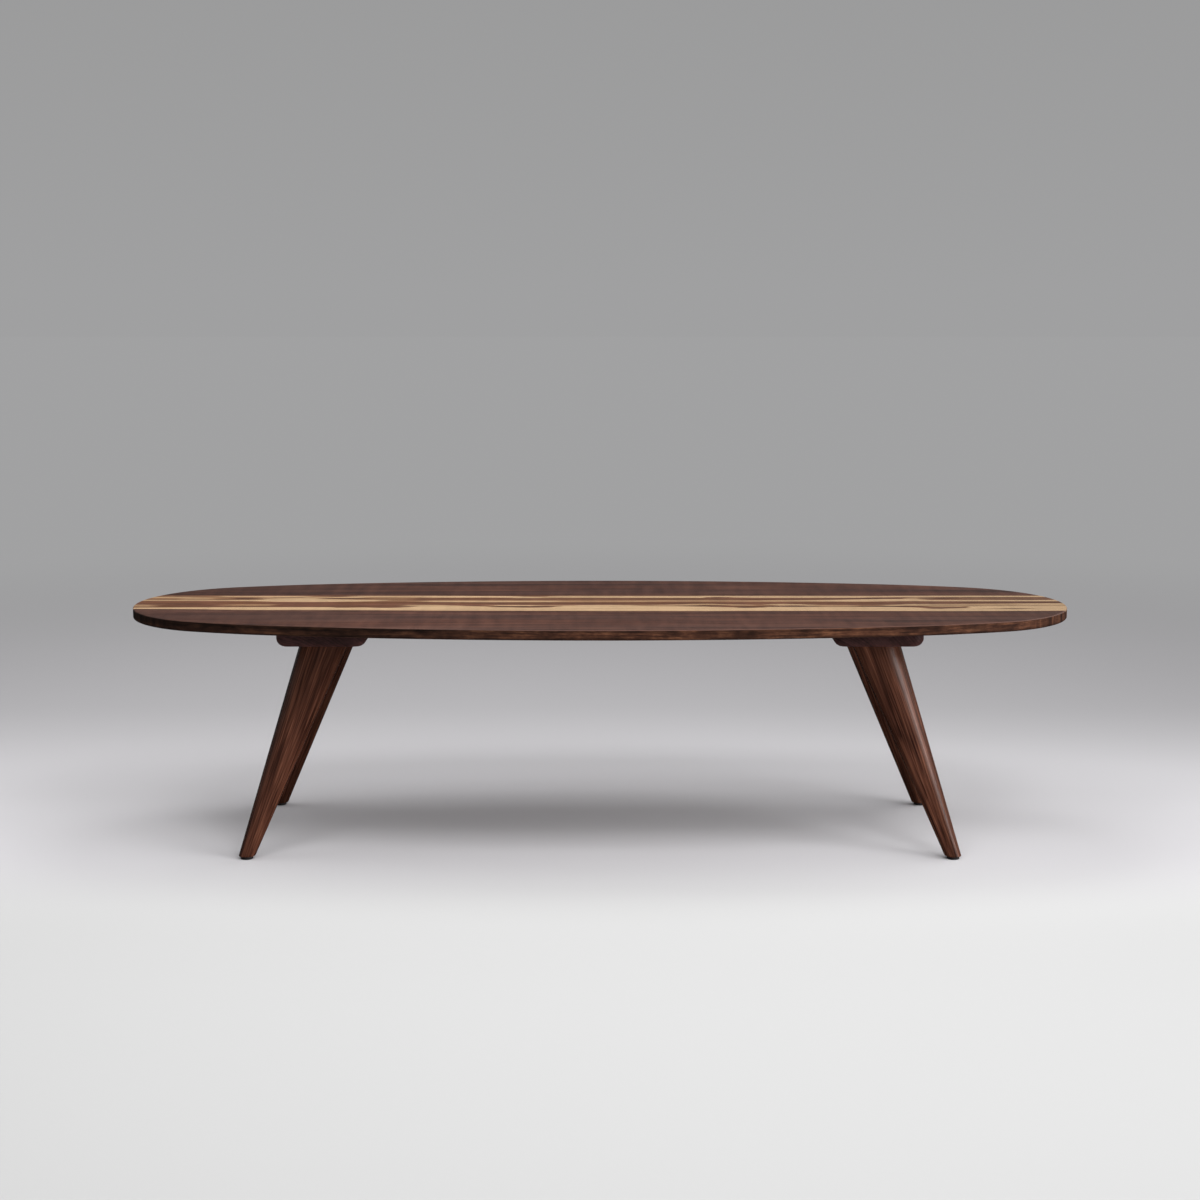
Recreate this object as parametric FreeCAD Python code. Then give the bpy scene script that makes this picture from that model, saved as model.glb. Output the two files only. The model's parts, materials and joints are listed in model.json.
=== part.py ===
import FreeCAD, Part
import math
import os

V = FreeCAD.Vector

# Low oval coffee table in solid walnut, millimetres.
# Origin on the floor plane under the middle of the top, +Z up, +X along the
# length, -Y towards the front long side.

# ---------------------------------------------------------------- dimensions
TOP_LENGTH = 1600.0
TOP_WIDTH = 555.0
TABLE_HEIGHT = 402.0
TOP_THICK = 17.0
TOP_ARRIS = 2.0            # rounding of the upper and lower edge of the top

# The oval is drawn with three tangent arcs per quarter.
SIDE_R = 2950.0
SHOULDER_R = 1000.0
END_R = 205.0

BOARD_JOINT_Y = 92.5       # glue lines, three boards of equal width
EDGE_DOWEL_D = 6.0
EDGE_DOWEL_L = 40.0
EDGE_DOWEL_X = (-700.0, -500.0, -300.0, -100.0, 100.0, 300.0, 500.0, 700.0)
GLUE_GAP = 0.05            # radial clearance round a glued dowel

BATTEN_X_IN = 383.5        # batten's inner long side
BATTEN_X_OUT = 531.5       # batten's outer long side
BATTEN_HALF_LEN = 190.5
BATTEN_THICK = 27.0
BATTEN_CORNER_R = 20.0     # corners seen from above
BATTEN_EDGE_R = 13.5       # rounding of the lower edge all round

LEG_TOP_X = 461.0          # leg axis where it meets the batten
LEG_TOP_Y = 95.0
LEG_FOOT_X = 590.0         # leg axis at floor level
LEG_FOOT_Y = 180.0
LEG_TOP_R = 39.0           # square to the leg's own axis
LEG_FOOT_R = 12.5
FOOT_EASE = 0.8

GLIDE_D = 21.0
GLIDE_H = 5.0
GLIDE_CHAMFER = 0.8
GLIDE_RECESS_D = 8.0
GLIDE_RECESS_H = 2.5
NAIL_D = 2.2
NAIL_HEAD_D = 6.4
NAIL_HEAD_H = 1.0
NAIL_L = 17.0
NAIL_POINT = 3.5

LEG_BOLT_X = 466.0         # vertical bolt that pulls the leg up to the batten
LEG_BOLT_Y = 98.0
LEG_BOLT_D = 8.0
LEG_BOLT_L = 50.0
LEG_BOLT_HEAD_D = 13.0
LEG_BOLT_HEAD_H = 8.0
LEG_BOLT_KEY = 6.0         # hexagon socket, across flats
LEG_BOLT_KEY_DEPTH = 4.0
LEG_BOLT_HOLE_D = 9.0
LEG_BOLT_BORE_D = 20.0     # counterbore in the batten's upper face
LEG_BOLT_BORE_H = 10.0
BOLT_WASHER_D = 16.0
BOLT_WASHER_T = 1.6
INSERT_D = 12.0
INSERT_L = 25.0
INSERT_SINK = 1.5          # insert sits this far below the leg's seat
INSERT_FLANGE_D = 15.0
INSERT_FLANGE_T = 1.5
LOCATING_DOWEL_D = 10.0
LOCATING_DOWEL_L = 40.0
LOCATING_DOWEL_OFF = 20.0  # distance from the bolt, square to the splay

SCREW_X = (412.0, 503.0)
SCREW_Y = (-156.0, 0.0, 156.0)
SCREW_D = 5.0
SCREW_L = 30.0
SCREW_POINT = 5.0
SCREW_HEAD_D = 9.5
SCREW_HEAD_H = 3.5
SCREW_SEAT = 11.0          # depth of the counterbore from the batten's underside
SCREW_BORE_D = 13.0
SCREW_HOLE_D = 6.0
SCREW_SLOT_TRAVEL = 6.0    # extra length of the end slots along the width
SCREW_WASHER_D = 12.0
SCREW_WASHER_T = 1.2

# ------------------------------------------------------------ derived levels
Z_TOP = TABLE_HEIGHT
Z_UNDER = TABLE_HEIGHT - TOP_THICK          # underside of the top
Z_SEAT = Z_UNDER - BATTEN_THICK             # underside of the batten, leg seat
A = TOP_LENGTH / 2
B = TOP_WIDTH / 2


# --------------------------------------------------------------- small tools
def cyl(d, h, x, y, z, direction=V(0, 0, 1)):
    return Part.makeCylinder(d / 2, h, V(x, y, z), direction)


def box(x0, y0, z0, x1, y1, z1):
    return Part.makeBox(x1 - x0, y1 - y0, z1 - z0, V(x0, y0, z0))


def slot(d, travel, h, x, y, z):
    """Round-ended slot along Y, centred on x, y."""
    if travel <= 0:
        return cyl(d, h, x, y, z)
    body = box(x - d / 2, y - travel / 2, z, x + d / 2, y + travel / 2, z + h)
    body = body.fuse([cyl(d, h, x, y - travel / 2, z), cyl(d, h, x, y + travel / 2, z)])
    return body.removeSplitter()


def one_solid(shape):
    solids = shape.Solids
    if len(solids) != 1:
        raise ValueError("expected one solid, got %d" % len(solids))
    return solids[0]


def group(solids):
    return Part.makeCompound([one_solid(s) for s in solids])


def write(node, shape):
    for s in shape.Solids:
        if not s.isValid():
            raise ValueError(node + " is not valid")
    shape.exportStep("parts/" + node + ".step")
    print("%-30s solids %2d  volume %10.1f mm3" % (node, len(shape.Solids), shape.Volume))


def edges_at(shape, z, tol=1e-6):
    """Edges that lie wholly in the plane at height z."""
    found = []
    for e in shape.Edges:
        bb = e.BoundBox
        if abs(bb.ZMin - z) < tol and abs(bb.ZMax - z) < tol:
            found.append(e)
    return found


# ------------------------------------------------------------------- the top
def oval_arcs():
    """Centres and joins of the quarter oval: side, shoulder and end arc."""
    c1 = (0.0, B - SIDE_R)
    c3 = (A - END_R, 0.0)
    r12 = SIDE_R - SHOULDER_R
    r23 = SHOULDER_R - END_R
    dx, dy = c3[0] - c1[0], c3[1] - c1[1]
    d = math.hypot(dx, dy)
    t = (d * d + r12 * r12 - r23 * r23) / (2 * d)
    h = math.sqrt(r12 * r12 - t * t)
    px, py = c1[0] + dx * t / d, c1[1] + dy * t / d
    # The shoulder's centre lies on the side of the chord nearer the Y axis.
    both = [(px - dy * h / d, py + dx * h / d), (px + dy * h / d, py - dx * h / d)]
    c2 = min(both, key=lambda c: c[0])
    u1 = ((c2[0] - c1[0]) / r12, (c2[1] - c1[1]) / r12)
    u2 = ((c3[0] - c2[0]) / r23, (c3[1] - c2[1]) / r23)
    j1 = (c1[0] + u1[0] * SIDE_R, c1[1] + u1[1] * SIDE_R)
    j2 = (c3[0] + u2[0] * END_R, c3[1] + u2[1] * END_R)
    mid = (u1[0] + u2[0], u1[1] + u2[1])
    n = math.hypot(*mid)
    m = (c2[0] + mid[0] / n * SHOULDER_R, c2[1] + mid[1] / n * SHOULDER_R)
    return j1, m, j2


def oval_slab():
    j1, m, j2 = oval_arcs()

    def p(q, sx, sy):
        return V(q[0] * sx, q[1] * sy, Z_UNDER)

    # The end arc is drawn in three pieces, split just outside the board joints.
    t2 = math.asin((BOARD_JOINT_Y + 4.0) / END_R)
    t0 = math.asin(j2[1] / END_R)
    t1 = (t0 + t2) / 2
    e1 = (A - END_R + END_R * math.cos(t1), END_R * math.sin(t1))
    e2 = (A - END_R + END_R * math.cos(t2), END_R * math.sin(t2))

    arcs = [
        Part.Arc(p(j1, -1, 1), V(0, B, Z_UNDER), p(j1, 1, 1)),
        Part.Arc(p(j1, 1, 1), p(m, 1, 1), p(j2, 1, 1)),
        Part.Arc(p(j2, 1, 1), p(e1, 1, 1), p(e2, 1, 1)),
        Part.Arc(p(e2, 1, 1), V(A, 0, Z_UNDER), p(e2, 1, -1)),
        Part.Arc(p(e2, 1, -1), p(e1, 1, -1), p(j2, 1, -1)),
        Part.Arc(p(j2, 1, -1), p(m, 1, -1), p(j1, 1, -1)),
        Part.Arc(p(j1, 1, -1), V(0, -B, Z_UNDER), p(j1, -1, -1)),
        Part.Arc(p(j1, -1, -1), p(m, -1, -1), p(j2, -1, -1)),
        Part.Arc(p(j2, -1, -1), p(e1, -1, -1), p(e2, -1, -1)),
        Part.Arc(p(e2, -1, -1), V(-A, 0, Z_UNDER), p(e2, -1, 1)),
        Part.Arc(p(e2, -1, 1), p(e1, -1, 1), p(j2, -1, 1)),
        Part.Arc(p(j2, -1, 1), p(m, -1, 1), p(j1, -1, 1)),
    ]
    wire = Part.Wire([a.toShape() for a in arcs])
    slab = Part.Face(wire).extrude(V(0, 0, TOP_THICK))
    slab = slab.makeFillet(TOP_ARRIS, edges_at(slab, Z_TOP) + edges_at(slab, Z_UNDER))
    return one_solid(slab)


def edge_dowels(y):
    return [
        cyl(EDGE_DOWEL_D, EDGE_DOWEL_L, x, y - EDGE_DOWEL_L / 2, Z_UNDER + TOP_THICK / 2, V(0, 1, 0))
        for x in EDGE_DOWEL_X
    ]


def edge_dowel_holes(y):
    d = EDGE_DOWEL_D + 2 * GLUE_GAP
    length = EDGE_DOWEL_L + 2.0
    return [
        cyl(d, length, x, y - length / 2, Z_UNDER + TOP_THICK / 2, V(0, 1, 0))
        for x in EDGE_DOWEL_X
    ]


def screw_places(side):
    return [(side * x, y) for x in SCREW_X for y in SCREW_Y]


SCREW_Z = Z_SEAT + SCREW_SEAT - SCREW_WASHER_T     # underside of the screw's head


def screw_pilot(x, y):
    """Hole in the top for the threaded end, with the point's own taper."""
    d = SCREW_D + 2 * GLUE_GAP
    tip = SCREW_Z + SCREW_L
    return cyl(d, tip - SCREW_POINT - Z_UNDER + 1.0, x, y, Z_UNDER - 1.0).fuse(
        Part.makeCone(d / 2, 0.4, SCREW_POINT + 0.4, V(x, y, tip - SCREW_POINT))
    )


def top_boards():
    slab = oval_slab()
    big = A + 10
    cuts = {
        "top_board_front": box(-big, -B - 10, Z_UNDER - 5, big, -BOARD_JOINT_Y, Z_TOP + 5),
        "top_board_center": box(-big, -BOARD_JOINT_Y, Z_UNDER - 5, big, BOARD_JOINT_Y, Z_TOP + 5),
        "top_board_rear": box(-big, BOARD_JOINT_Y, Z_UNDER - 5, big, B + 10, Z_TOP + 5),
    }
    joints = {
        "top_board_front": [-BOARD_JOINT_Y],
        "top_board_center": [-BOARD_JOINT_Y, BOARD_JOINT_Y],
        "top_board_rear": [BOARD_JOINT_Y],
    }
    spans = {
        "top_board_front": (-B, -BOARD_JOINT_Y),
        "top_board_center": (-BOARD_JOINT_Y, BOARD_JOINT_Y),
        "top_board_rear": (BOARD_JOINT_Y, B),
    }
    boards = {}
    for node, block in cuts.items():
        board = slab.common(block)
        tools = []
        for y in joints[node]:
            tools += edge_dowel_holes(y)
        low, high = spans[node]
        for side in (-1, 1):
            tools += [screw_pilot(x, y) for x, y in screw_places(side) if low < y < high]
        boards[node] = one_solid(board.cut(tools))
    return boards


# -------------------------------------------------------------- the fasteners
def leg_signs():
    return {
        "front_left": (-1, -1),
        "front_right": (1, -1),
        "rear_left": (-1, 1),
        "rear_right": (1, 1),
    }


BOLT_SEAT = Z_UNDER - LEG_BOLT_BORE_H              # floor of the counterbore
BOLT_HEAD_Z = BOLT_SEAT + BOLT_WASHER_T            # underside of the bolt's head


def locating_dowel_place(sx, sy):
    ux, uy = LEG_FOOT_X - LEG_TOP_X, LEG_FOOT_Y - LEG_TOP_Y
    n = math.hypot(ux, uy)
    ux, uy = ux / n, uy / n
    return (
        sx * (LEG_BOLT_X - uy * LOCATING_DOWEL_OFF),
        sy * (LEG_BOLT_Y + ux * LOCATING_DOWEL_OFF),
    )


def leg_bolt(sx, sy):
    x, y = sx * LEG_BOLT_X, sy * LEG_BOLT_Y
    head = cyl(LEG_BOLT_HEAD_D, LEG_BOLT_HEAD_H, x, y, BOLT_HEAD_Z)
    head = head.makeFillet(0.8, edges_at(head, BOLT_HEAD_Z + LEG_BOLT_HEAD_H))
    shank = cyl(LEG_BOLT_D, LEG_BOLT_L, x, y, BOLT_HEAD_Z - LEG_BOLT_L)
    shank = shank.makeChamfer(1.0, edges_at(shank, BOLT_HEAD_Z - LEG_BOLT_L))
    r = LEG_BOLT_KEY / math.sqrt(3)
    z = BOLT_HEAD_Z + LEG_BOLT_HEAD_H - LEG_BOLT_KEY_DEPTH
    ring = [
        V(x + r * math.cos(math.radians(60 * i)), y + r * math.sin(math.radians(60 * i)), z)
        for i in range(7)
    ]
    key = Part.Face(Part.makePolygon(ring)).extrude(V(0, 0, LEG_BOLT_KEY_DEPTH + 1))
    return one_solid(head.fuse(shank).cut(key))


def leg_bolt_washer(sx, sy):
    x, y = sx * LEG_BOLT_X, sy * LEG_BOLT_Y
    return cyl(BOLT_WASHER_D, BOLT_WASHER_T, x, y, BOLT_SEAT).cut(
        cyl(LEG_BOLT_D + 0.4, BOLT_WASHER_T + 2, x, y, BOLT_SEAT - 1)
    )


def leg_insert(sx, sy):
    x, y = sx * LEG_BOLT_X, sy * LEG_BOLT_Y
    top = Z_SEAT - INSERT_SINK
    body = cyl(INSERT_D, INSERT_L, x, y, top - INSERT_L)
    body = body.fuse(cyl(INSERT_FLANGE_D, INSERT_FLANGE_T, x, y, top - INSERT_FLANGE_T))
    return one_solid(
        body.cut(cyl(LEG_BOLT_D + 2 * GLUE_GAP, INSERT_L + 2, x, y, top - INSERT_L - 1))
    )


def insert_hole(sx, sy):
    x, y = sx * LEG_BOLT_X, sy * LEG_BOLT_Y
    top = Z_SEAT - INSERT_SINK
    d = INSERT_D + 2 * GLUE_GAP
    hole = cyl(d, INSERT_L + INSERT_SINK + 5, x, y, top - INSERT_L)
    hole = hole.fuse(
        cyl(INSERT_FLANGE_D + 2 * GLUE_GAP, INSERT_FLANGE_T + INSERT_SINK + 5, x, y, top - INSERT_FLANGE_T)
    )
    end = BOLT_HEAD_Z - LEG_BOLT_L - 3.0
    return hole.fuse(cyl(LEG_BOLT_D + 1.0, top - INSERT_L - end + 1, x, y, end))


def locating_dowel(sx, sy):
    x, y = locating_dowel_place(sx, sy)
    d = cyl(LOCATING_DOWEL_D, LOCATING_DOWEL_L, x, y, Z_SEAT - LOCATING_DOWEL_L / 2)
    ends = edges_at(d, Z_SEAT - LOCATING_DOWEL_L / 2) + edges_at(d, Z_SEAT + LOCATING_DOWEL_L / 2)
    return d.makeChamfer(1.0, ends)


def locating_hole(sx, sy):
    x, y = locating_dowel_place(sx, sy)
    length = LOCATING_DOWEL_L + 1.0
    return cyl(LOCATING_DOWEL_D + 2 * GLUE_GAP, length, x, y, Z_SEAT - length / 2)


def batten_screw(x, y):
    """Pan-head screw driven upwards from the batten's underside."""
    low = SCREW_Z - SCREW_HEAD_H
    head = cyl(SCREW_HEAD_D, SCREW_HEAD_H, x, y, low)
    head = head.makeFillet(1.9, edges_at(head, low))
    shank = cyl(SCREW_D, SCREW_L - SCREW_POINT, x, y, SCREW_Z)
    point = Part.makeCone(SCREW_D / 2, 0.3, SCREW_POINT, V(x, y, SCREW_Z + SCREW_L - SCREW_POINT))
    recess = box(x - 2.4, y - 0.55, low - 1, x + 2.4, y + 0.55, low + 1.9).fuse(
        box(x - 0.55, y - 2.4, low - 1, x + 0.55, y + 2.4, low + 1.9)
    )
    return one_solid(head.fuse([shank, point]).removeSplitter().cut(recess))


def batten_screw_washer(x, y):
    z = Z_SEAT + SCREW_SEAT - SCREW_WASHER_T
    return cyl(SCREW_WASHER_D, SCREW_WASHER_T, x, y, z).cut(
        cyl(SCREW_D + 0.4, SCREW_WASHER_T + 2, x, y, z - 1)
    )


# ----------------------------------------------------------------- the batten
def batten(side):
    x0, x1 = sorted((side * BATTEN_X_IN, side * BATTEN_X_OUT))
    block = box(x0, -BATTEN_HALF_LEN, Z_SEAT, x1, BATTEN_HALF_LEN, Z_UNDER)
    upright = [e for e in block.Edges if e.BoundBox.ZLength > BATTEN_THICK - 1]
    block = block.makeFillet(BATTEN_CORNER_R, upright)
    block = block.makeFillet(BATTEN_EDGE_R, edges_at(block, Z_SEAT))
    tools = []
    for x, y in screw_places(side):
        travel = 0.0 if abs(y) < 1 else SCREW_SLOT_TRAVEL
        tools.append(slot(SCREW_HOLE_D, travel, BATTEN_THICK + 2, x, y, Z_SEAT - 1))
        tools.append(slot(SCREW_BORE_D, travel, SCREW_SEAT + 1, x, y, Z_SEAT - 1))
    for sx, sy in leg_signs().values():
        if sx != side:
            continue
        x, y = sx * LEG_BOLT_X, sy * LEG_BOLT_Y
        tools.append(cyl(LEG_BOLT_HOLE_D, BATTEN_THICK + 2, x, y, Z_SEAT - 1))
        tools.append(cyl(LEG_BOLT_BORE_D, LEG_BOLT_BORE_H + 1, x, y, BOLT_SEAT))
        tools.append(locating_hole(sx, sy))
    return one_solid(block.cut(tools))


# ------------------------------------------------------------------- the legs
def glide_centre(sx, sy):
    """The leg axis at the level where the foot is cut off."""
    t = GLIDE_H / Z_SEAT
    return (
        sx * (LEG_FOOT_X + (LEG_TOP_X - LEG_FOOT_X) * t),
        sy * (LEG_FOOT_Y + (LEG_TOP_Y - LEG_FOOT_Y) * t),
    )


def leg(sx, sy):
    foot = V(sx * LEG_FOOT_X, sy * LEG_FOOT_Y, 0)
    top = V(sx * LEG_TOP_X, sy * LEG_TOP_Y, Z_SEAT)
    axis = top - foot
    length = axis.Length
    slope = (LEG_TOP_R - LEG_FOOT_R) / length
    over = 40.0
    unit = V(axis).normalize()
    cone = Part.makeCone(
        LEG_FOOT_R - slope * over,
        LEG_TOP_R + slope * over,
        length + 2 * over,
        foot - unit * over,
        unit,
    )
    far = 900.0
    body = cone.common(box(-far, -far, GLIDE_H, far, far, Z_SEAT))
    body = body.makeChamfer(FOOT_EASE, edges_at(body, GLIDE_H, 1e-4))
    gx, gy = glide_centre(sx, sy)
    nail_top = GLIDE_RECESS_H + NAIL_L
    nail_hole = cyl(NAIL_D + 2 * GLUE_GAP, nail_top - NAIL_POINT - GLIDE_H + 1, gx, gy, GLIDE_H - 1).fuse(
        Part.makeCone(NAIL_D / 2 + GLUE_GAP, 0.3, NAIL_POINT + 0.3, V(gx, gy, nail_top - NAIL_POINT))
    )
    return one_solid(body.cut([insert_hole(sx, sy), locating_hole(sx, sy), nail_hole]))


def glide(sx, sy):
    x, y = glide_centre(sx, sy)
    body = cyl(GLIDE_D, GLIDE_H, x, y, 0)
    body = body.makeChamfer(GLIDE_CHAMFER, edges_at(body, 0))
    body = body.cut([
        cyl(GLIDE_RECESS_D, GLIDE_RECESS_H + 1, x, y, -1),
        cyl(NAIL_D + 2 * GLUE_GAP, GLIDE_H + 2, x, y, -1),
    ])
    return one_solid(body)


def glide_nail(sx, sy):
    x, y = glide_centre(sx, sy)
    head_low = GLIDE_RECESS_H - NAIL_HEAD_H
    head = cyl(NAIL_HEAD_D, NAIL_HEAD_H, x, y, head_low)
    shank = cyl(NAIL_D, NAIL_L - NAIL_POINT, x, y, GLIDE_RECESS_H)
    point = Part.makeCone(NAIL_D / 2, 0.2, NAIL_POINT, V(x, y, GLIDE_RECESS_H + NAIL_L - NAIL_POINT))
    return one_solid(head.fuse([shank, point]).removeSplitter())


# ---------------------------------------------------------------------- build
def build():
    nodes = {}
    nodes.update(top_boards())
    nodes["edge_dowels_front_joint"] = group(edge_dowels(-BOARD_JOINT_Y))
    nodes["edge_dowels_rear_joint"] = group(edge_dowels(BOARD_JOINT_Y))
    for name, side in (("left", -1), ("right", 1)):
        nodes["batten_" + name] = batten(side)
        places = screw_places(side)
        nodes["batten_screws_" + name] = group([batten_screw(x, y) for x, y in places])
        nodes["batten_washers_" + name] = group([batten_screw_washer(x, y) for x, y in places])
    signs = leg_signs()
    for name, (sx, sy) in signs.items():
        nodes["leg_" + name] = leg(sx, sy)
        nodes["foot_glide_" + name] = glide(sx, sy)
    nodes["leg_bolts"] = group([leg_bolt(*s) for s in signs.values()])
    nodes["leg_bolt_washers"] = group([leg_bolt_washer(*s) for s in signs.values()])
    nodes["leg_threaded_inserts"] = group([leg_insert(*s) for s in signs.values()])
    nodes["leg_locating_dowels"] = group([locating_dowel(*s) for s in signs.values()])
    nodes["foot_glide_nails"] = group([glide_nail(*s) for s in signs.values()])
    return nodes


os.makedirs("parts", exist_ok=True)
for node, shape in sorted(build().items()):
    write(node, shape)
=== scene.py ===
import json
import math

import bmesh
import bpy
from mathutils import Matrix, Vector

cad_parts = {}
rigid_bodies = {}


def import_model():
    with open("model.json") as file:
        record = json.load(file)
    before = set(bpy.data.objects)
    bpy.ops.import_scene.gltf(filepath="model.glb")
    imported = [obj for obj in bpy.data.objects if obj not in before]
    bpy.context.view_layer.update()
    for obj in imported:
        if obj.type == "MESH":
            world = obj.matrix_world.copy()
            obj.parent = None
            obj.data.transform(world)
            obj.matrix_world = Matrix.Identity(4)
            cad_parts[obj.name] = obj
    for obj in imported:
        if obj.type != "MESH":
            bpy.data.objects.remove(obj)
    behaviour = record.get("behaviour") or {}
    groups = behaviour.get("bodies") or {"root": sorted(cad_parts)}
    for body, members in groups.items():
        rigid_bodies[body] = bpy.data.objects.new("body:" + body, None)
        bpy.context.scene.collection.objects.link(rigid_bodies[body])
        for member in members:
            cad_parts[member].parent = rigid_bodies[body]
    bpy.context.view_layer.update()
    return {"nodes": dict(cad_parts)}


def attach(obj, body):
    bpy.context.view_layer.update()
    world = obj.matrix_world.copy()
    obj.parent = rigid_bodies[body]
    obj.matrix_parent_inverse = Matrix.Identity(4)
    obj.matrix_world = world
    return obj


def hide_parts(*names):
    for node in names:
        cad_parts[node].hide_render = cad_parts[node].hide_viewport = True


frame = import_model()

# Everything is in metres in the part's frame: origin on the floor under the
# middle of the top, +X along the length, -Y towards the front long side.

# ------------------------------------------------------------ part dimensions
A, B = 0.800, 0.2775               # half length and half width of the top
Z_TOP, Z_UNDER, Z_SEAT = 0.402, 0.385, 0.358
ARRIS = 0.002
SIDE_R, SHOULDER_R, END_R = 2.950, 1.000, 0.205
JOINT_Y = 0.0925
DOWEL_X = (-0.7, -0.5, -0.3, -0.1, 0.1, 0.3, 0.5, 0.7)

BATTEN_X = (0.3835, 0.5315)
BATTEN_Y = 0.1905
BATTEN_CORNER, BATTEN_EDGE = 0.020, 0.0135
SCREW_X, SCREW_Y = (0.412, 0.503), (-0.156, 0.0, 0.156)
SLOT_TRAVEL = 0.006

LEG_TOP = (0.461, 0.095)
LEG_FOOT = (0.590, 0.180)
LEG_R_TOP, LEG_R_FOOT = 0.039, 0.0125
GLIDE_H, FOOT_EASE = 0.005, 0.0008
BOLT = (0.466, 0.098)
DOWEL_OFF = 0.020


# ---------------------------------------------------------------- mesh helpers
def make_object(name, verts, faces):
    """A closed mesh object. Its vertices are in the row frame."""
    me = bpy.data.meshes.new(name)
    me.from_pydata([tuple(v) for v in verts], [], faces)
    bm = bmesh.new()
    bm.from_mesh(me)
    bmesh.ops.remove_doubles(bm, verts=bm.verts, dist=1e-7)
    bmesh.ops.recalc_face_normals(bm, faces=bm.faces)
    bm.to_mesh(me)
    bm.free()
    ob = bpy.data.objects.new(name, me)
    bpy.context.scene.collection.objects.link(ob)
    return ob


def apply_all(ob):
    bpy.context.view_layer.update()
    dg = bpy.context.evaluated_depsgraph_get()
    me = bpy.data.meshes.new_from_object(ob.evaluated_get(dg), preserve_all_data_layers=True, depsgraph=dg)
    old = ob.data
    ob.modifiers.clear()
    ob.data = me
    me.name = ob.name
    bpy.data.meshes.remove(old)


def bore(ob, cutters):
    """Cuts closed cutter meshes, given as (verts, faces), out of ob."""
    verts, faces = [], []
    for v, f in cutters:
        k = len(verts)
        verts += v
        faces += [[i + k for i in g] for g in f]
    tool = make_object("cutter", verts, faces)
    mod = ob.modifiers.new("bore", "BOOLEAN")
    mod.operation = "DIFFERENCE"
    mod.solver = "EXACT"
    mod.object = tool
    apply_all(ob)
    bpy.data.objects.remove(tool)


def finish_mesh(ob, angle=28):
    """Smooth shading with crisp edges where faces meet at a real corner."""
    me = ob.data
    me.polygons.foreach_set("use_smooth", [True] * len(me.polygons))
    me.set_sharp_from_angle(angle=math.radians(angle))
    mod = ob.modifiers.new("normals", "WEIGHTED_NORMAL")
    mod.mode = "FACE_AREA"
    mod.weight = 60
    mod.keep_sharp = True
    apply_all(ob)
    return ob


def stack(x, y, steps, travel=0.0, n=40):
    """Closed cutter upright at x, y: rings at (height, radius), stretched along Y by travel."""
    verts, faces = [], []
    for z, r in steps:
        for i in range(n):
            a = 2 * math.pi * (i + 0.5) / n
            shift = travel / 2 * (1 if math.sin(a) > 0 else -1)
            verts.append((x + r * math.cos(a), y + r * math.sin(a) + shift, z))
    for k in range(len(steps) - 1):
        for i in range(n):
            j = (i + 1) % n
            faces.append([k * n + i, k * n + j, (k + 1) * n + j, (k + 1) * n + i])
    faces.append(list(range(n))[::-1])
    faces.append([(len(steps) - 1) * n + i for i in range(n)])
    return verts, faces


def rod_y(x, z, y0, y1, r, n=28):
    """Closed cylinder along Y."""
    verts, faces = [], []
    for y in (y0, y1):
        for i in range(n):
            a = 2 * math.pi * (i + 0.5) / n
            verts.append((x + r * math.cos(a), y, z + r * math.sin(a)))
    for i in range(n):
        j = (i + 1) % n
        faces.append([i, j, n + j, n + i])
    faces.append(list(range(n)))
    faces.append([n + i for i in range(n)][::-1])
    return verts, faces


# --------------------------------------------------------------- the oval top
def oval_frame():
    """Arc centres and the normal angles where the arcs of a quarter meet."""
    c1 = (0.0, B - SIDE_R)
    c3 = (A - END_R, 0.0)
    r12, r23 = SIDE_R - SHOULDER_R, SHOULDER_R - END_R
    dx, dy = c3[0] - c1[0], c3[1] - c1[1]
    d = math.hypot(dx, dy)
    t = (d * d + r12 * r12 - r23 * r23) / (2 * d)
    h = math.sqrt(r12 * r12 - t * t)
    px, py = c1[0] + dx * t / d, c1[1] + dy * t / d
    both = [(px - dy * h / d, py + dx * h / d), (px + dy * h / d, py - dx * h / d)]
    c2 = min(both, key=lambda c: c[0])
    th1 = math.atan2(c2[1] - c1[1], c2[0] - c1[0])
    th2 = math.atan2(c3[1] - c2[1], c3[0] - c2[0])
    return c1, c2, c3, th1, th2


C1, C2, C3, TH1, TH2 = oval_frame()


def rim_point(theta, inset):
    """Point of the outline, moved inwards by inset, whose outward normal has the angle theta."""
    c, s = math.cos(theta), math.sin(theta)
    q = math.atan2(abs(s), abs(c))
    if q <= TH2:
        (cx, cy), r = C3, END_R
    elif q <= TH1:
        (cx, cy), r = C2, SHOULDER_R
    else:
        (cx, cy), r = C1, SIDE_R
    x = cx + (r - inset) * math.cos(q)
    y = cy + (r - inset) * math.sin(q)
    return math.copysign(x, c), math.copysign(y, s)


def even_fractions(t0, t1, pitch):
    """Fractions of the angle range t0..t1 that lie about pitch apart along the rim."""
    fine = 6000
    run, last, total = [0.0], rim_point(t0, 0), 0.0
    for i in range(1, fine + 1):
        p = rim_point(t0 + (t1 - t0) * i / fine, 0)
        total += math.hypot(p[0] - last[0], p[1] - last[1])
        run.append(total)
        last = p
    n = max(8, round(total / pitch))
    out, k = [], 0
    for j in range(n + 1):
        want = total * j / n
        while k < fine and run[k + 1] < want:
            k += 1
        span = run[min(k + 1, fine)] - run[k]
        out.append(min(1.0, (k + ((want - run[k]) / span if span > 0 else 0)) / fine))
    out[0], out[-1] = 0.0, 1.0
    return out


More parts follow.
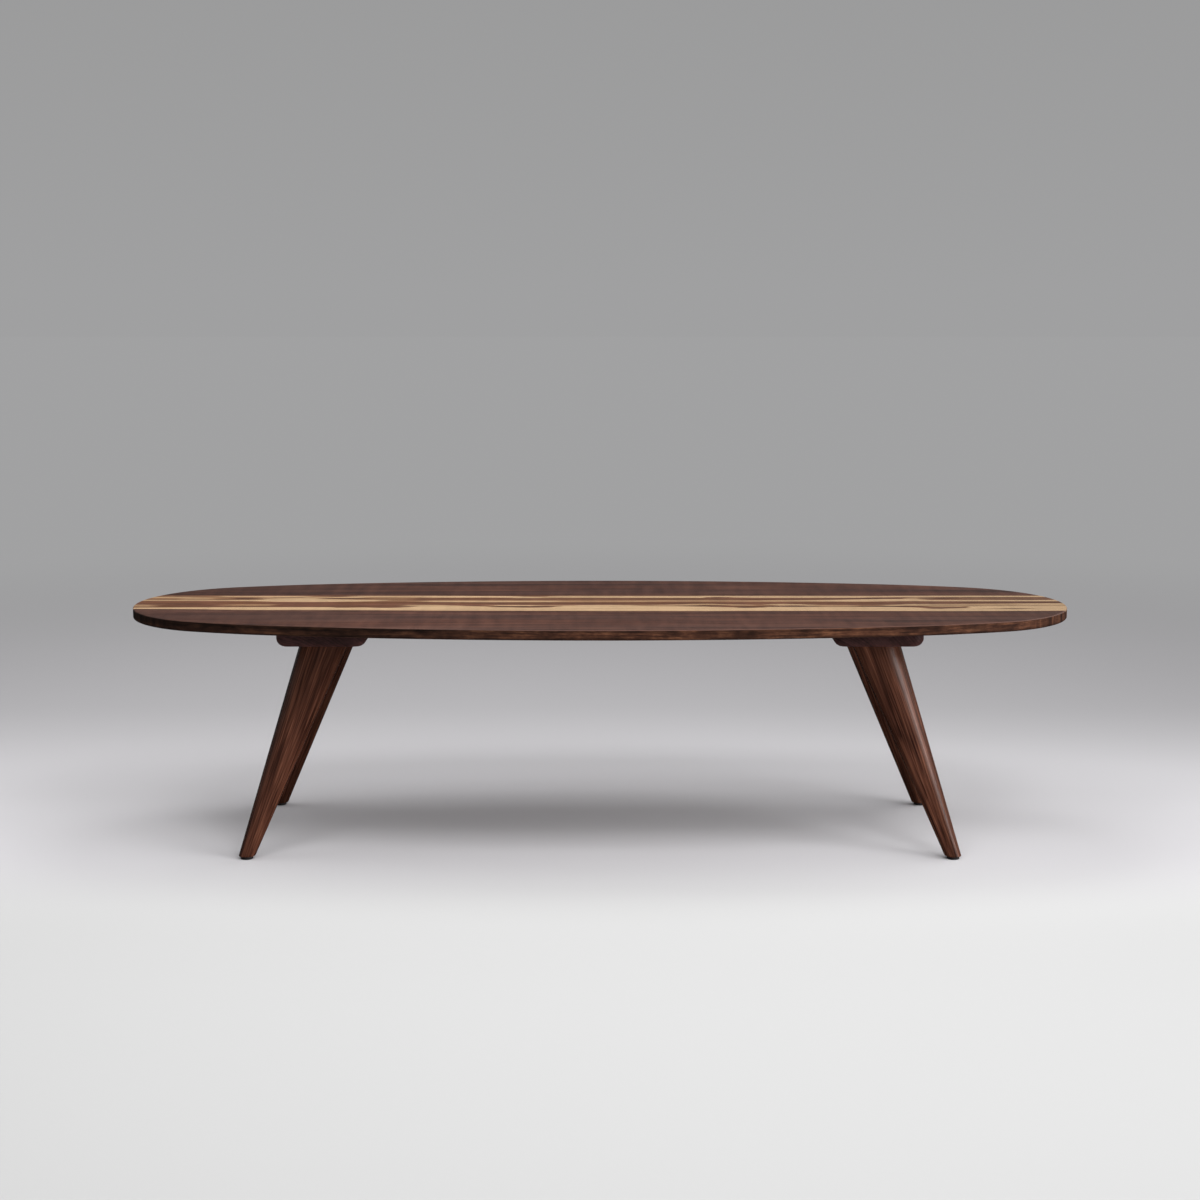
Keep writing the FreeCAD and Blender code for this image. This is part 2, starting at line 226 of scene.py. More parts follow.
def edge_levels(n=7):
    """(height, inset) from the underside up, round both arrises."""
    out = []
    for i in range(n + 1):
        p = math.radians(90 * i / n)
        out.append((Z_UNDER + ARRIS * (1 - math.cos(p)), ARRIS * (1 - math.sin(p))))
    for i in range(n + 1):
        p = math.radians(90 * i / n)
        out.append((Z_TOP - ARRIS * (1 - math.sin(p)), ARRIS * (1 - math.cos(p))))
    return out


def board(name, ranges):
    """ranges holds one function per stretch of rim; each gives the angles of its ends for an inset."""
    levels = edge_levels()
    verts, spans, start = [], [], []
    for rng in ranges:
        t0, t1 = rng(0.0)
        spans.append(even_fractions(t0, t1, 0.005))
    for z, d in levels:
        row = []
        for rng, fr in zip(ranges, spans):
            t0, t1 = rng(d)
            ids = []
            for f in fr:
                x, y = rim_point(t0 + (t1 - t0) * f, d)
                ids.append(len(verts))
                verts.append((x, y, z))
            row.append(ids)
        start.append(row)
    faces = []
    for k in range(len(levels) - 1):
        for s in range(len(ranges)):
            lo, hi = start[k][s], start[k + 1][s]
            for i in range(len(lo) - 1):
                faces.append([lo[i], lo[i + 1], hi[i + 1], hi[i]])
    for s in range(len(ranges)):
        nxt = (s + 1) % len(ranges)
        ring = [start[k][s][-1] for k in range(len(levels))]
        ring += [start[k][nxt][0] for k in reversed(range(len(levels)))]
        faces.append(ring)
    faces.append([i for ids in start[-1] for i in ids])
    faces.append([i for ids in start[0] for i in ids][::-1])
    return make_object(name, verts, faces)


def joint_angle(inset):
    return math.asin(JOINT_Y / (END_R - inset))


def pilot(x, y):
    tip = 0.3978
    return stack(x, y, [(Z_UNDER - 0.003, 0.00255), (tip - 0.005, 0.00255), (tip - 0.0002, 0.0004)], n=24)


def top_boards():
    mid = (Z_TOP + Z_UNDER) / 2
    out = {}
    specs = {
        "front": [lambda d: (math.pi + joint_angle(d), 2 * math.pi - joint_angle(d))],
        "center": [
            lambda d: (-joint_angle(d), joint_angle(d)),
            lambda d: (math.pi - joint_angle(d), math.pi + joint_angle(d)),
        ],
        "rear": [lambda d: (joint_angle(d), math.pi - joint_angle(d))],
    }
    rows = {"front": -0.156, "center": 0.0, "rear": 0.156}
    for key, ranges in specs.items():
        ob = board("walnut_board_" + key, ranges)
        cuts = [pilot(sx * x, rows[key]) for sx in (-1, 1) for x in SCREW_X]
        if key in ("front", "center"):
            cuts += [rod_y(x, mid, -JOINT_Y - 0.021, -JOINT_Y + 0.021, 0.00305) for x in DOWEL_X]
        if key in ("rear", "center"):
            cuts += [rod_y(x, mid, JOINT_Y - 0.021, JOINT_Y + 0.021, 0.00305) for x in DOWEL_X]
        bore(ob, cuts)
        finish_mesh(ob)
        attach(ob, "root")
        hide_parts("top_board_" + key)
        out[key] = ob
    return out


# --------------------------------------------------------------- the battens
def batten(side):
    name = "left" if side < 0 else "right"
    x0, x1 = sorted((side * BATTEN_X[0], side * BATTEN_X[1]))
    cx, hx = (x0 + x1) / 2, (x1 - x0) / 2
    levels = []
    n = 14
    for i in range(n + 1):
        p = math.radians(90 * i / n)
        levels.append((Z_SEAT + BATTEN_EDGE * (1 - math.cos(p)), BATTEN_EDGE * (1 - math.sin(p))))
    levels.append((Z_UNDER, 0.0))
    verts, faces, m = [], [], 14
    per = 4 * (m + 1)
    for z, d in levels:
        r = BATTEN_CORNER - d
        for q, (sx, sy) in enumerate(((1, 1), (-1, 1), (-1, -1), (1, -1))):
            for i in range(m + 1):
                a = math.radians(90 * q + 90 * i / m)
                verts.append((
                    cx + sx * (hx - BATTEN_CORNER) + r * math.cos(a),
                    sy * (BATTEN_Y - BATTEN_CORNER) + r * math.sin(a),
                    z,
                ))
    for k in range(len(levels) - 1):
        for i in range(per):
            j = (i + 1) % per
            faces.append([k * per + i, k * per + j, (k + 1) * per + j, (k + 1) * per + i])
    faces.append(list(range(per))[::-1])
    faces.append([(len(levels) - 1) * per + i for i in range(per)])
    ob = make_object("walnut_batten_" + name, verts, faces)
    cuts = []
    for x in SCREW_X:
        for y in SCREW_Y:
            travel = 0.0 if y == 0 else SLOT_TRAVEL
            steps = [
                (Z_SEAT - 0.002, 0.0065), (Z_SEAT + 0.011, 0.0065),
                (Z_SEAT + 0.011, 0.003), (Z_UNDER + 0.002, 0.003),
            ]
            cuts.append(stack(side * x, y, steps, travel))
    for sy in (-1, 1):
        steps = [
            (Z_SEAT - 0.002, 0.0045), (Z_UNDER - 0.010, 0.0045),
            (Z_UNDER - 0.010, 0.010), (Z_UNDER + 0.002, 0.010),
        ]
        cuts.append(stack(side * BOLT[0], sy * BOLT[1], steps))
        dx, dy = locating_place(side, sy)
        cuts.append(stack(dx, dy, [(Z_SEAT - 0.002, 0.00505), (Z_SEAT + 0.0205, 0.00505)]))
    bore(ob, cuts)
    finish_mesh(ob)
    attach(ob, "root")
    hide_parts("batten_" + name)
    return ob


def locating_place(sx, sy):
    ux, uy = LEG_FOOT[0] - LEG_TOP[0], LEG_FOOT[1] - LEG_TOP[1]
    n = math.hypot(ux, uy)
    ux, uy = ux / n, uy / n
    return sx * (BOLT[0] - uy * DOWEL_OFF), sy * (BOLT[1] + ux * DOWEL_OFF)


# ------------------------------------------------------------------ the legs
def leg_axes(sx, sy):
    """The leg's own frame: its foot on the floor, then u forwards, v sideways and w up the leg."""
    foot = Vector((sx * LEG_FOOT[0], sy * LEG_FOOT[1], 0.0))
    top = Vector((sx * LEG_TOP[0], sy * LEG_TOP[1], Z_SEAT))
    w = (top - foot).normalized()
    u = Vector((0, -1, 0)) - w * w.dot(Vector((0, -1, 0)))
    u.normalize()
    return foot, u, w.cross(u), w, (top - foot).length


def leg(name, sx, sy):
    foot, u, v, w, length = leg_axes(sx, sy)
    slope = (LEG_R_TOP - LEG_R_FOOT) / length
    n, rings = 112, 26

    def at(phi, z, shrink=0.0):
        """Point of the cone, taken in by shrink, on the line at angle phi and at height z."""
        e = u * math.cos(phi) + v * math.sin(phi)
        r0 = LEG_R_FOOT - shrink
        t = (z - foot.z - r0 * e.z) / (w.z + slope * e.z)
        return foot + w * t + e * (r0 + slope * t)

    heights = [(GLIDE_H, FOOT_EASE), (GLIDE_H + FOOT_EASE * 0.35, FOOT_EASE * 0.42), (GLIDE_H + FOOT_EASE, 0.0)]
    z0 = GLIDE_H + FOOT_EASE
    heights += [(z0 + (Z_SEAT - z0) * (i / rings), 0.0) for i in range(1, rings + 1)]
    verts, faces = [], []
    for z, s in heights:
        for i in range(n):
            verts.append(at(2 * math.pi * i / n, z, s))
    for k in range(len(heights) - 1):
        for i in range(n):
            j = (i + 1) % n
            faces.append([k * n + i, k * n + j, (k + 1) * n + j, (k + 1) * n + i])
    faces.append(list(range(n))[::-1])
    faces.append([(len(heights) - 1) * n + i for i in range(n)])
    ob = make_object("walnut_leg_" + name, verts, faces)
    bx, by = sx * BOLT[0], sy * BOLT[1]
    seat = Z_SEAT - 0.0015
    cuts = [stack(bx, by, [
        (0.3236, 0.0045), (seat - 0.025, 0.0045), (seat - 0.025, 0.00605),
        (seat - 0.0015, 0.00605), (seat - 0.0015, 0.00755), (Z_SEAT + 0.002, 0.00755),
    ])]
    dx, dy = locating_place(sx, sy)
    cuts.append(stack(dx, dy, [(Z_SEAT - 0.0205, 0.00505), (Z_SEAT + 0.002, 0.00505)]))
    gx, gy = glide_place(sx, sy)
    cuts.append(stack(gx, gy, [(GLIDE_H - 0.001, 0.00115), (0.016, 0.00115), (0.0195, 0.0003)], n=20))
    bore(ob, cuts)
    finish_mesh(ob)
    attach(ob, "root")
    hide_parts("leg_" + name)
    return ob


def glide_place(sx, sy):
    t = GLIDE_H / Z_SEAT
    return (
        sx * (LEG_FOOT[0] + (LEG_TOP[0] - LEG_FOOT[0]) * t),
        sy * (LEG_FOOT[1] + (LEG_TOP[1] - LEG_FOOT[1]) * t),
    )


# -------------------------------------------------------------- node builder
class Tree:
    """Short names for building a material's nodes."""

    def __init__(self, name):
        self.mat = bpy.data.materials.new(name)
        self.mat.use_nodes = True
        self.nt = self.mat.node_tree
        self.nt.nodes.clear()
        self.out = self.nt.nodes.new("ShaderNodeOutputMaterial")

    def node(self, kind, **props):
        n = self.nt.nodes.new(kind)
        for k, v in props.items():
            setattr(n, k, v)
        return n

    def put(self, socket, value):
        if value is None:
            return
        if isinstance(value, bpy.types.NodeSocket):
            self.nt.links.new(value, socket)
        else:
            socket.default_value = value

    def math(self, op, a, b=None, c=None, clamp=False):
        n = self.node("ShaderNodeMath", operation=op, use_clamp=clamp)
        for s, v in zip(n.inputs, (a, b, c)):
            self.put(s, v)
        return n.outputs[0]

    def add(self, *terms):
        total = terms[0]
        for t in terms[1:]:
            total = self.math("ADD", total, t)
        return total

    def mul(self, a, b):
        return self.math("MULTIPLY", a, b)

    def sub(self, a, b):
        return self.math("SUBTRACT", a, b)

    def vmath(self, op, a, b=None):
        n = self.node("ShaderNodeVectorMath", operation=op)
        self.put(n.inputs[0], a)
        self.put(n.inputs[1], b)
        return n.outputs[1] if op in ("LENGTH", "DOT_PRODUCT") else n.outputs[0]

    def xyz(self, x, y, z):
        n = self.node("ShaderNodeCombineXYZ")
        for s, v in zip(n.inputs, (x, y, z)):
            self.put(s, v)
        return n.outputs[0]

    def split(self, v):
        n = self.node("ShaderNodeSeparateXYZ")
        self.put(n.inputs[0], v)
        return n.outputs[0], n.outputs[1], n.outputs[2]

    def noise(self, v, scale=1.0, detail=2.0, rough=0.5, lac=2.0, dims="3D", w=None):
        n = self.node("ShaderNodeTexNoise", noise_dimensions=dims)
        n.normalize = True
        if dims != "1D":
            self.put(n.inputs["Vector"], v)
        if w is not None:
            self.put(n.inputs["W"], w)
        self.put(n.inputs["Scale"], scale)
        self.put(n.inputs["Detail"], detail)
        self.put(n.inputs["Roughness"], rough)
        self.put(n.inputs["Lacunarity"], lac)
        return n.outputs[0]

    def smooth(self, x, lo, hi, a=0.0, b=1.0):
        n = self.node("ShaderNodeMapRange", interpolation_type="SMOOTHSTEP", clamp=True)
        for s, v in zip(n.inputs, (x, lo, hi, a, b)):
            self.put(s, v)
        return n.outputs[0]

    def linear(self, x, lo, hi, a=0.0, b=1.0, clamp=True):
        n = self.node("ShaderNodeMapRange", interpolation_type="LINEAR", clamp=clamp)
        for s, v in zip(n.inputs, (x, lo, hi, a, b)):
            self.put(s, v)
        return n.outputs[0]

    def mix(self, fac, a, b, blend="MIX"):
        n = self.node("ShaderNodeMix", data_type="RGBA", blend_type=blend)
        n.clamp_factor = True
        self.put(n.inputs[0], fac)
        for s, v in ((n.inputs[6], a), (n.inputs[7], b)):
            if isinstance(v, (tuple, list)) and len(v) == 3:
                v = (*v, 1.0)
            self.put(s, v)
        return n.outputs[2]

    def ramp(self, fac, stops, mode="LINEAR"):
        n = self.node("ShaderNodeValToRGB")
        cr = n.color_ramp
        cr.interpolation = mode
        while len(cr.elements) < len(stops):
            cr.elements.new(0.5)
        for e, (p, c) in zip(cr.elements, stops):
            e.position = p
            e.color = (*c, 1.0)
        self.put(n.inputs[0], fac)
        return n.outputs[0]

    def curve(self, x, points, lo=-0.8, hi=0.8, vlo=-0.1, vhi=0.1):
        """Smooth curve through (x, value) points."""
        n = self.node("ShaderNodeFloatCurve")
        c = n.mapping.curves[0]
        n.mapping.use_clip = False
        n.mapping.extend = "HORIZONTAL"
        pts = [((px - lo) / (hi - lo), (pv - vlo) / (vhi - vlo)) for px, pv in points]
        while len(c.points) < len(pts):
            c.points.new(0.5, 0.5)
        for p, (px, pv) in zip(c.points, pts):
            p.location = (px, pv)
            p.handle_type = "AUTO_CLAMPED"
        n.mapping.update()
        self.put(n.inputs["Value"], self.linear(x, lo, hi))
        return self.linear(n.outputs[0], 0.0, 1.0, vlo, vhi, clamp=False)

    def principled(self, color, rough, bump=None, distance=0.0002, strength=0.5, **fixed):
        p = self.node("ShaderNodeBsdfPrincipled")
        self.put(p.inputs["Base Color"], color)
        self.put(p.inputs["Roughness"], rough)
        for k, v in fixed.items():
            p.inputs[k.replace("_", " ")].default_value = v
        if bump is not None:
            b = self.node("ShaderNodeBump")
            b.inputs["Strength"].default_value = strength
            b.inputs["Distance"].default_value = distance
            self.put(b.inputs["Height"], bump)
            self.nt.links.new(b.outputs[0], p.inputs["Normal"])
        self.nt.links.new(p.outputs[0], self.out.inputs[0])
        return self.mat


# --------------------------------------------------------------- the woods
def grain(g, x, y, z, seed, pith, ring=0.0042, wave=1.0, rim=None):
    """Solid wood figure for grain along x. Returns parts of the figure, each about 0 to 1.
    rim is 1 on the narrow faces of a board, where the years lie flat one above the other."""
    sx, sy, sz = 3.1 * seed, 1.7 * seed, 2.3 * seed
    slow = g.noise(g.xyz(g.add(g.mul(x, 0.9), sx), g.add(g.mul(y, 5.0), sy), g.add(g.mul(z, 5.0), sz)), 1, 2, 0.45)
    quick = g.noise(g.xyz(g.add(g.mul(x, 4.0), sy), g.add(g.mul(y, 26.0), sz), g.add(g.mul(z, 26.0), sx)), 1, 2, 0.5)
    warp = g.add(g.mul(g.sub(slow, 0.5), 0.050 * wave), g.mul(g.sub(quick, 0.5), 0.0045 * wave))
    dy, dz = g.sub(y, pith[0]), g.sub(z, pith[1])
    radius = g.math("SQRT", g.add(g.mul(dy, dy), g.mul(dz, dz)))
    if rim is not None:
        flat = g.add(g.mul(z, 1.1), g.mul(y, 0.03), 0.4)
        radius = g.add(radius, g.mul(rim, g.sub(flat, radius)))
    radius = g.add(radius, warp)
    # Growth rings: an irregular spacing, a soft early side and a thin dark late line.
    drift = g.noise(None, 1.0, 2, 0.6, dims="1D", w=g.add(g.mul(radius, 38.0), 7.3 * seed))
    phase = g.math("FRACT", g.add(g.mul(radius, 1.0 / ring), g.mul(drift, 2.4)))
    late = g.smooth(phase, 0.45, 0.97)
    late = g.mul(late, g.smooth(phase, 1.0, 0.985))
    # Bands of darker and lighter years.
    bands = g.noise(g.xyz(g.add(g.mul(x, 0.7), sz), g.mul(radius, 60.0), 0.0), 1, 2, 0.6)
    # Fibre streaks, a millimetre or two wide and long along the grain.
    fibre = g.noise(g.xyz(g.add(g.mul(x, 7.0), sx), g.mul(y, 420.0), g.mul(z, 420.0)), 1, 3, 0.6)
    streak = g.noise(g.xyz(g.add(g.mul(x, 2.6), sy), g.mul(y, 120.0), g.mul(z, 120.0)), 1, 2, 0.55)
    # Pores: short dark dashes.
    dash = g.noise(g.xyz(g.mul(x, 95.0), g.mul(y, 2300.0), g.mul(z, 2300.0)), 1, 1, 0.5)
    pores = g.smooth(dash, 0.58, 0.72)
    pores = g.mul(pores, g.linear(late, 0.0, 1.0, 0.55, 1.0))
    cloud = g.noise(g.xyz(g.add(g.mul(x, 1.6), sz), g.add(g.mul(y, 9.0), sx), g.mul(z, 9.0)), 1, 3, 0.5)
    return {"late": late, "bands": bands, "fibre": fibre, "streak": streak, "pores": pores, "cloud": cloud,
            "quick": quick, "slow": slow, "radius": radius}


def figure_value(g, f, late=0.30, bands=0.9, fibre=0.55, streak=0.55, cloud=0.35):
    """One number round 0.5 that is low in dark wood and high in light wood."""
    v = g.add(
        0.5,
        g.mul(g.sub(f["bands"], 0.5), bands),
        g.mul(g.sub(f["fibre"], 0.5), fibre),
        g.mul(g.sub(f["streak"], 0.5), streak),
        g.mul(g.sub(f["cloud"], 0.5), cloud),
        g.mul(f["late"], -late),
    )
    return g.add(v, late * 0.35)


def height_of(g, f, pore=1.0, fibre=0.35, late=0.12):
    return g.add(g.mul(f["pores"], -pore), g.mul(f["fibre"], fibre), g.mul(f["late"], late))


WALNUT = {
    "dark": (0.028, 0.0100, 0.0066),
    "mid": (0.068, 0.0262, 0.0178),
    "light": (0.118, 0.0500, 0.0330),
}


# How light the rim is along the front, from the left tip to the right one: partly the wood's own tone, partly painted
# shade that darkens the left end, away from the light.
RIM_WOOD_AND_PAINTED_SHADE = [(-0.80, 0.44), (-0.71, 0.50), (-0.62, 0.62), (-0.54, 0.66), (-0.44, 0.62), (-0.33, 0.60),
            (-0.24, 0.80), (-0.14, 1.14), (0.00, 1.40), (0.12, 1.32), (0.148, 1.52), (0.18, 1.22),
            (0.24, 1.05), (0.272, 1.30), (0.30, 1.06), (0.35, 1.18), (0.40, 1.45), (0.45, 1.22), (0.53, 1.30),
            (0.59, 1.36), (0.612, 0.90), (0.632, 1.36), (0.67, 1.46), (0.73, 1.32), (0.80, 1.24)]
# Depth of a band of painted shade under the top arris, and how dark it is.
RIM_PAINTED_SHADE_BAND = [(-0.80, 0.0110), (-0.70, 0.0080), (-0.55, 0.0055), (-0.40, 0.0042), (-0.20, 0.0035), (0.80, 0.0030)]
RIM_PAINTED_SHADE_STRENGTH = [(-0.80, 0.50), (-0.40, 0.50), (-0.05, 0.50), (0.06, 0.40), (0.14, 0.10), (0.80, 0.05)]


def rim_color(g, x, y, z, along, seed, ends):
    """Long flat streaks along the rim, and upright bands where it cuts across the fibres."""
    s = 2.3 * seed
    flow = g.mul(g.sub(g.noise(g.xyz(g.add(g.mul(x, 2.2), s), g.mul(y, 2.0), 0.0), 1, 2, 0.5), 0.5), 0.016)
    h = g.add(z, flow)
    streak = g.noise(g.xyz(g.add(g.mul(x, 9.0), s), g.mul(y, 6.0), g.mul(h, 330.0)), 1, 3, 0.6)
    blotch = g.noise(g.xyz(g.add(g.mul(x, 34.0), s), g.mul(y, 20.0), g.mul(h, 80.0)), 1, 3, 0.62)
    fibre = g.noise(g.xyz(g.add(g.mul(x, 70.0), s), g.mul(y, 70.0), g.mul(h, 1000.0)), 1, 2, 0.6)
    across = g.noise(g.xyz(g.mul(x, 60.0), g.mul(y, 110.0), g.add(g.mul(z, 14.0), s)), 1, 3, 0.65)
    v = g.add(0.5, g.mul(g.sub(streak, 0.5), 0.95), g.mul(g.sub(blotch, 0.5), 1.15), g.mul(g.sub(fibre, 0.5), 0.6))
    cut = g.add(0.5, g.mul(g.sub(across, 0.5), 1.7), g.mul(g.sub(fibre, 0.5), 0.4))
    v = g.add(v, g.mul(ends, g.sub(cut, v)))
    color = g.ramp(v, [(0.18, (0.0150, 0.0056, 0.0034)), (0.42, (0.0370, 0.0140, 0.0080)),
                       (0.60, (0.0680, 0.0262, 0.0142)), (0.86, (0.1420, 0.0590, 0.0300))])
    # Painted shade mixed with the wood's own tone along the rim: darkest at the left tip of the front rim.
    tone = g.curve(along, RIM_WOOD_AND_PAINTED_SHADE, vlo=0.0, vhi=2.0)
    # A band of painted shade under the top arris, deepest and darkest towards the left tip.
    below = g.sub(Z_TOP, g.curve(along, RIM_PAINTED_SHADE_BAND, vlo=0.0, vhi=0.02))
    dark = g.mul(g.smooth(g.sub(h, below), -0.0022, 0.0010), g.curve(along, RIM_PAINTED_SHADE_STRENGTH, vlo=0.0, vhi=1.0))
    # Painted shade along the bottom of the rim, just above the lower arris.
    dark = g.math("MAXIMUM", dark, g.smooth(z, Z_UNDER + 0.0045, Z_UNDER + 0.0010, 0.0, 0.45))
    tone = g.mul(tone, g.sub(1.0, dark))
    shade = g.node("ShaderNodeCombineColor")
    for k in range(3):
        g.put(shade.inputs[k], tone)
    return g.mix(1.0, color, shade.outputs[0], "MULTIPLY")


def top_material(name, seed, pith, fade, streaks=False):
    """fade is how light the board is along its length, from the left end to the right one."""
    g = Tree(name)
    coord = g.node("ShaderNodeTexCoord").outputs["Object"]
    x, y, z = g.split(coord)
    nx, ny, nz = g.split(g.node("ShaderNodeTexCoord").outputs["Normal"])
    rim = g.smooth(g.math("ABSOLUTE", nz), 0.80, 0.35)
    ends = g.smooth(g.math("ABSOLUTE", nx), 0.30, 0.85)
    f = grain(g, x, y, z, seed, pith, rim=rim)
    mottle = g.noise(g.xyz(g.add(g.mul(x, 3.2), 1.3 * seed), g.mul(y, 42.0), g.mul(z, 42.0)), 1, 3, 0.62)
    curl = g.noise(g.xyz(g.mul(x, 55.0), g.mul(y, 8.0), 4.1 * seed), 1, 2, 0.5)
    v = g.add(figure_value(g, f), g.mul(g.sub(mottle, 0.5), 1.15), g.mul(g.sub(curl, 0.5), 0.68))
    color = g.ramp(v, [(0.12, WALNUT["dark"]), (0.5, WALNUT["mid"]), (0.92, WALNUT["light"])])
    # Redder and greyer patches.
    patch = g.noise(g.xyz(g.add(g.mul(x, 2.1), 5.2 * seed), g.mul(y, 17.0), g.mul(z, 17.0)), 1, 2, 0.5)
    color = g.mix(g.smooth(patch, 0.36, 0.64), g.mix(1.0, color, (0.94, 1.0, 1.06), "MULTIPLY"),
                  g.mix(1.0, color, (1.06, 0.99, 0.92), "MULTIPLY"))
    if streaks:
        color = sapwood(g, x, y, z, f, v, color)
    level = g.node("ShaderNodeCombineColor")
    side = g.curve(x, fade, vlo=0.0, vhi=1.5)
    for k in range(3):
        g.put(level.inputs[k], side)
    color = g.mix(1.0, color, level.outputs[0], "MULTIPLY")
    # The rim: dark at one end of the board, a lighter and redder brown towards the other; partly the wood's own tone,
    # partly painted shade, darkest at the left tip of the front rim and mirrored on the rear rim.
    along = g.mul(x, g.smooth(y, 0.05, -0.05, -1.0, 1.0))
    edge = rim_color(g, x, y, z, along, seed, ends)
    if streaks:
        # The sapwood band only tints the very top of the rim.
        color = g.mix(g.mul(rim, g.smooth(z, Z_TOP - 0.0005, Z_TOP - 0.0040, 0.45, 1.0)), color, edge)
    else:
        color = g.mix(rim, color, edge)
    # A painted highlight: a slightly lighter line along the top arris, faint at the dark end of the rim and full
    # towards the other.
    painted_arris_highlight = g.mul(g.smooth(nz, 0.20, 0.50), g.smooth(nz, 0.985, 0.90))
    color = g.mix(g.mul(painted_arris_highlight, g.smooth(along, -0.35, -0.10, 0.10, 1.0)), color,
                  g.mix(0.5, color, (0.150, 0.074, 0.056)))
    color = g.mix(g.mul(f["pores"], 0.55), color, g.mix(1.0, color, (0.42, 0.36, 0.34), "MULTIPLY"))
    rough = g.add(0.58, g.mul(g.sub(f["fibre"], 0.5), 0.14), g.mul(f["pores"], 0.10), g.mul(ends, 0.06))
    mat = g.principled(color, rough, height_of(g, f), distance=0.00012, strength=0.45,
                       Specular_IOR_Level=0.26)
    # The cut fibres of the rim are duller than the polished faces.
    shader = next(n for n in g.nt.nodes if n.type == "BSDF_PRINCIPLED")
    dull = g.mix(ends, (0.50, 0.46, 0.43), (0.12, 0.10, 0.09))
    g.put(shader.inputs["Specular Tint"], g.mix(rim, (1.0, 1.0, 1.0), dull))
    return mat


# Stripes of the sapwood band along the centre board. Each has a centre line, a
# half width and a strength along the length; 1 is pale wood, 0.5 tan, 0 red-brown.
A_MID = [(-.80, .080), (-.665, .080), (-.50, .080), (-.44, .080), (-.33, .078), (-.20, .077), (-.14, .074),
         (-.11, .071), (-.06, .076), (.16, .075), (.21, .081), (.26, .076), (.42, .076), (.50, .078),
         (.60, .081), (.80, .082)]
A_HALF = [(-.80, .010), (-.68, .009), (-.64, .007), (-.52, .007), (-.47, .008), (-.40, .009), (-.30, .011),
          (-.18, .009), (-.12, .009), (-.05, .012), (.17, .012), (.21, .007), (.26, .012), (.42, .012),
          (.52, .009), (.62, .009), (.80, .009)]
A_TONE = [(-.80, .28), (-.69, .28), (-.655, .80), (-.55, .90), (-.515, .70), (-.49, .35), (-.465, .30),
          (-.44, .75), (-.37, .80), (-.34, .75), (-.30, .90), (-.16, .95), (-.12, .70), (-.05, .85),
          (.05, .90), (.25, 1.0), (.45, 1.0), (.60, 1.0), (.80, .95)]
A2_MID = [(-.80, .068), (.40, .068), (.52, .057), (.80, .057)]
A2_TONE = [(-.80, .85), (-.74, .80), (-.71, .50), (-.66, .35), (-.645, .10), (-.52, .10), (-.505, .70),
           (-.43, .90), (-.405, .40), (-.35, .25), (-.30, 0), (-.16, 0), (-.145, .90), (-.11, 1.0), (-.09, .30),
           (-.07, 0), (.50, 0), (.63, .22), (.76, .22), (.80, .10)]
M_TONE = [(-.80, .25), (-.74, .35), (-.72, .60), (-.69, .60), (-.675, .35), (-.66, .30), (-.60, .25),
          (-.585, .50), (-.57, .80), (-.53, .80), (-.515, .75), (-.50, .55), (-.49, .30), (-.44, .10),
          (-.38, .35), (-.34, .30), (-.31, .10), (-.20, 0), (.80, 0)]
B_MID = [(-.80, .036), (-.60, .035), (-.575, .036), (-.54, .036), (-.50, .034), (-.42, .033), (-.36, .031),
         (-.32, .028), (-.27, .024), (-.20, .023), (-.08, .023), (.02, .024), (.15, .028), (.25, .028),
         (.36, .030), (.43, .033), (.48, .035), (.53, .038), (.58, .033), (.80, .033)]
B_HALF = [(-.80, .006), (-.64, .006), (-.585, .010), (-.555, .017), (-.50, .016), (-.42, .012), (-.38, .008),
          (-.32, .007), (-.25, .0085), (-.10, .008), (.10, .008), (.20, .006), (.30, .009), (.40, .011),
          (.48, .0145), (.53, .012), (.58, .009), (.80, .009)]
B_TONE = [(-.80, .85), (-.70, .85), (-.62, .90), (-.55, 1.0), (-.40, .95), (-.375, .60), (-.33, .40),
          (-.30, .55), (-.26, .85), (-.18, .90), (-.09, .85), (-.06, .58), (0, .56), (.05, .64), (.08, .70), (.11, .62),
          (.17, .65), (.22, .62), (.30, .66), (.37, .74), (.44, 1.0), (.80, 1.0)]
C_MID = [(-.80, -.022), (-.76, -.024), (-.70, -.020), (-.60, -.018), (-.50, -.020), (-.33, -.022),
         (-.10, -.022), (-.04, -.022), (.03, -.022), (.08, -.023), (.13, -.016), (.18, -.010), (.23, -.016),
         (.28, -.017), (.33, -.013), (.38, -.022), (.44, -.022), (.50, -.020), (.54, -.015), (.62, -.015),
         (.72, -.012), (.80, -.010)]
C_HALF = [(-.80, .010), (-.765, .009), (-.74, .006), (-.64, .009), (-.57, .009), (-.54, .006), (-.34, .005),
          (-.30, .008), (-.24, .006), (-.17, .0055), (-.10, .005), (0, .008), (.07, .009), (.11, .009),
          (.16, .0075), (.25, .0075), (.33, .0085), (.38, .008), (.46, .007), (.54, .010), (.60, .012),
          (.80, .014)]
C_TONE = [(-.80, .65), (-.765, .55), (-.745, 0), (-.68, 0), (-.645, .35), (-.60, .50), (-.562, .45),
          (-.553, 0), (-.35, .10), (-.325, .80), (-.28, .80), (-.25, .20), (-.20, .10), (-.185, .90),
          (-.14, .95), (-.10, .70), (-.05, .66), (.02, .70), (.08, .58), (.11, .70), (.18, .64), (.255, .62),
          (.268, .30), (.285, .30), (.305, .80), (.345, .80), (.37, .58), (.43, .48), (.47, .30), (.49, .40),
          (.52, .80), (.56, .76), (.60, .68), (.66, .70), (.71, .74), (.74, .90), (.80, .90)]
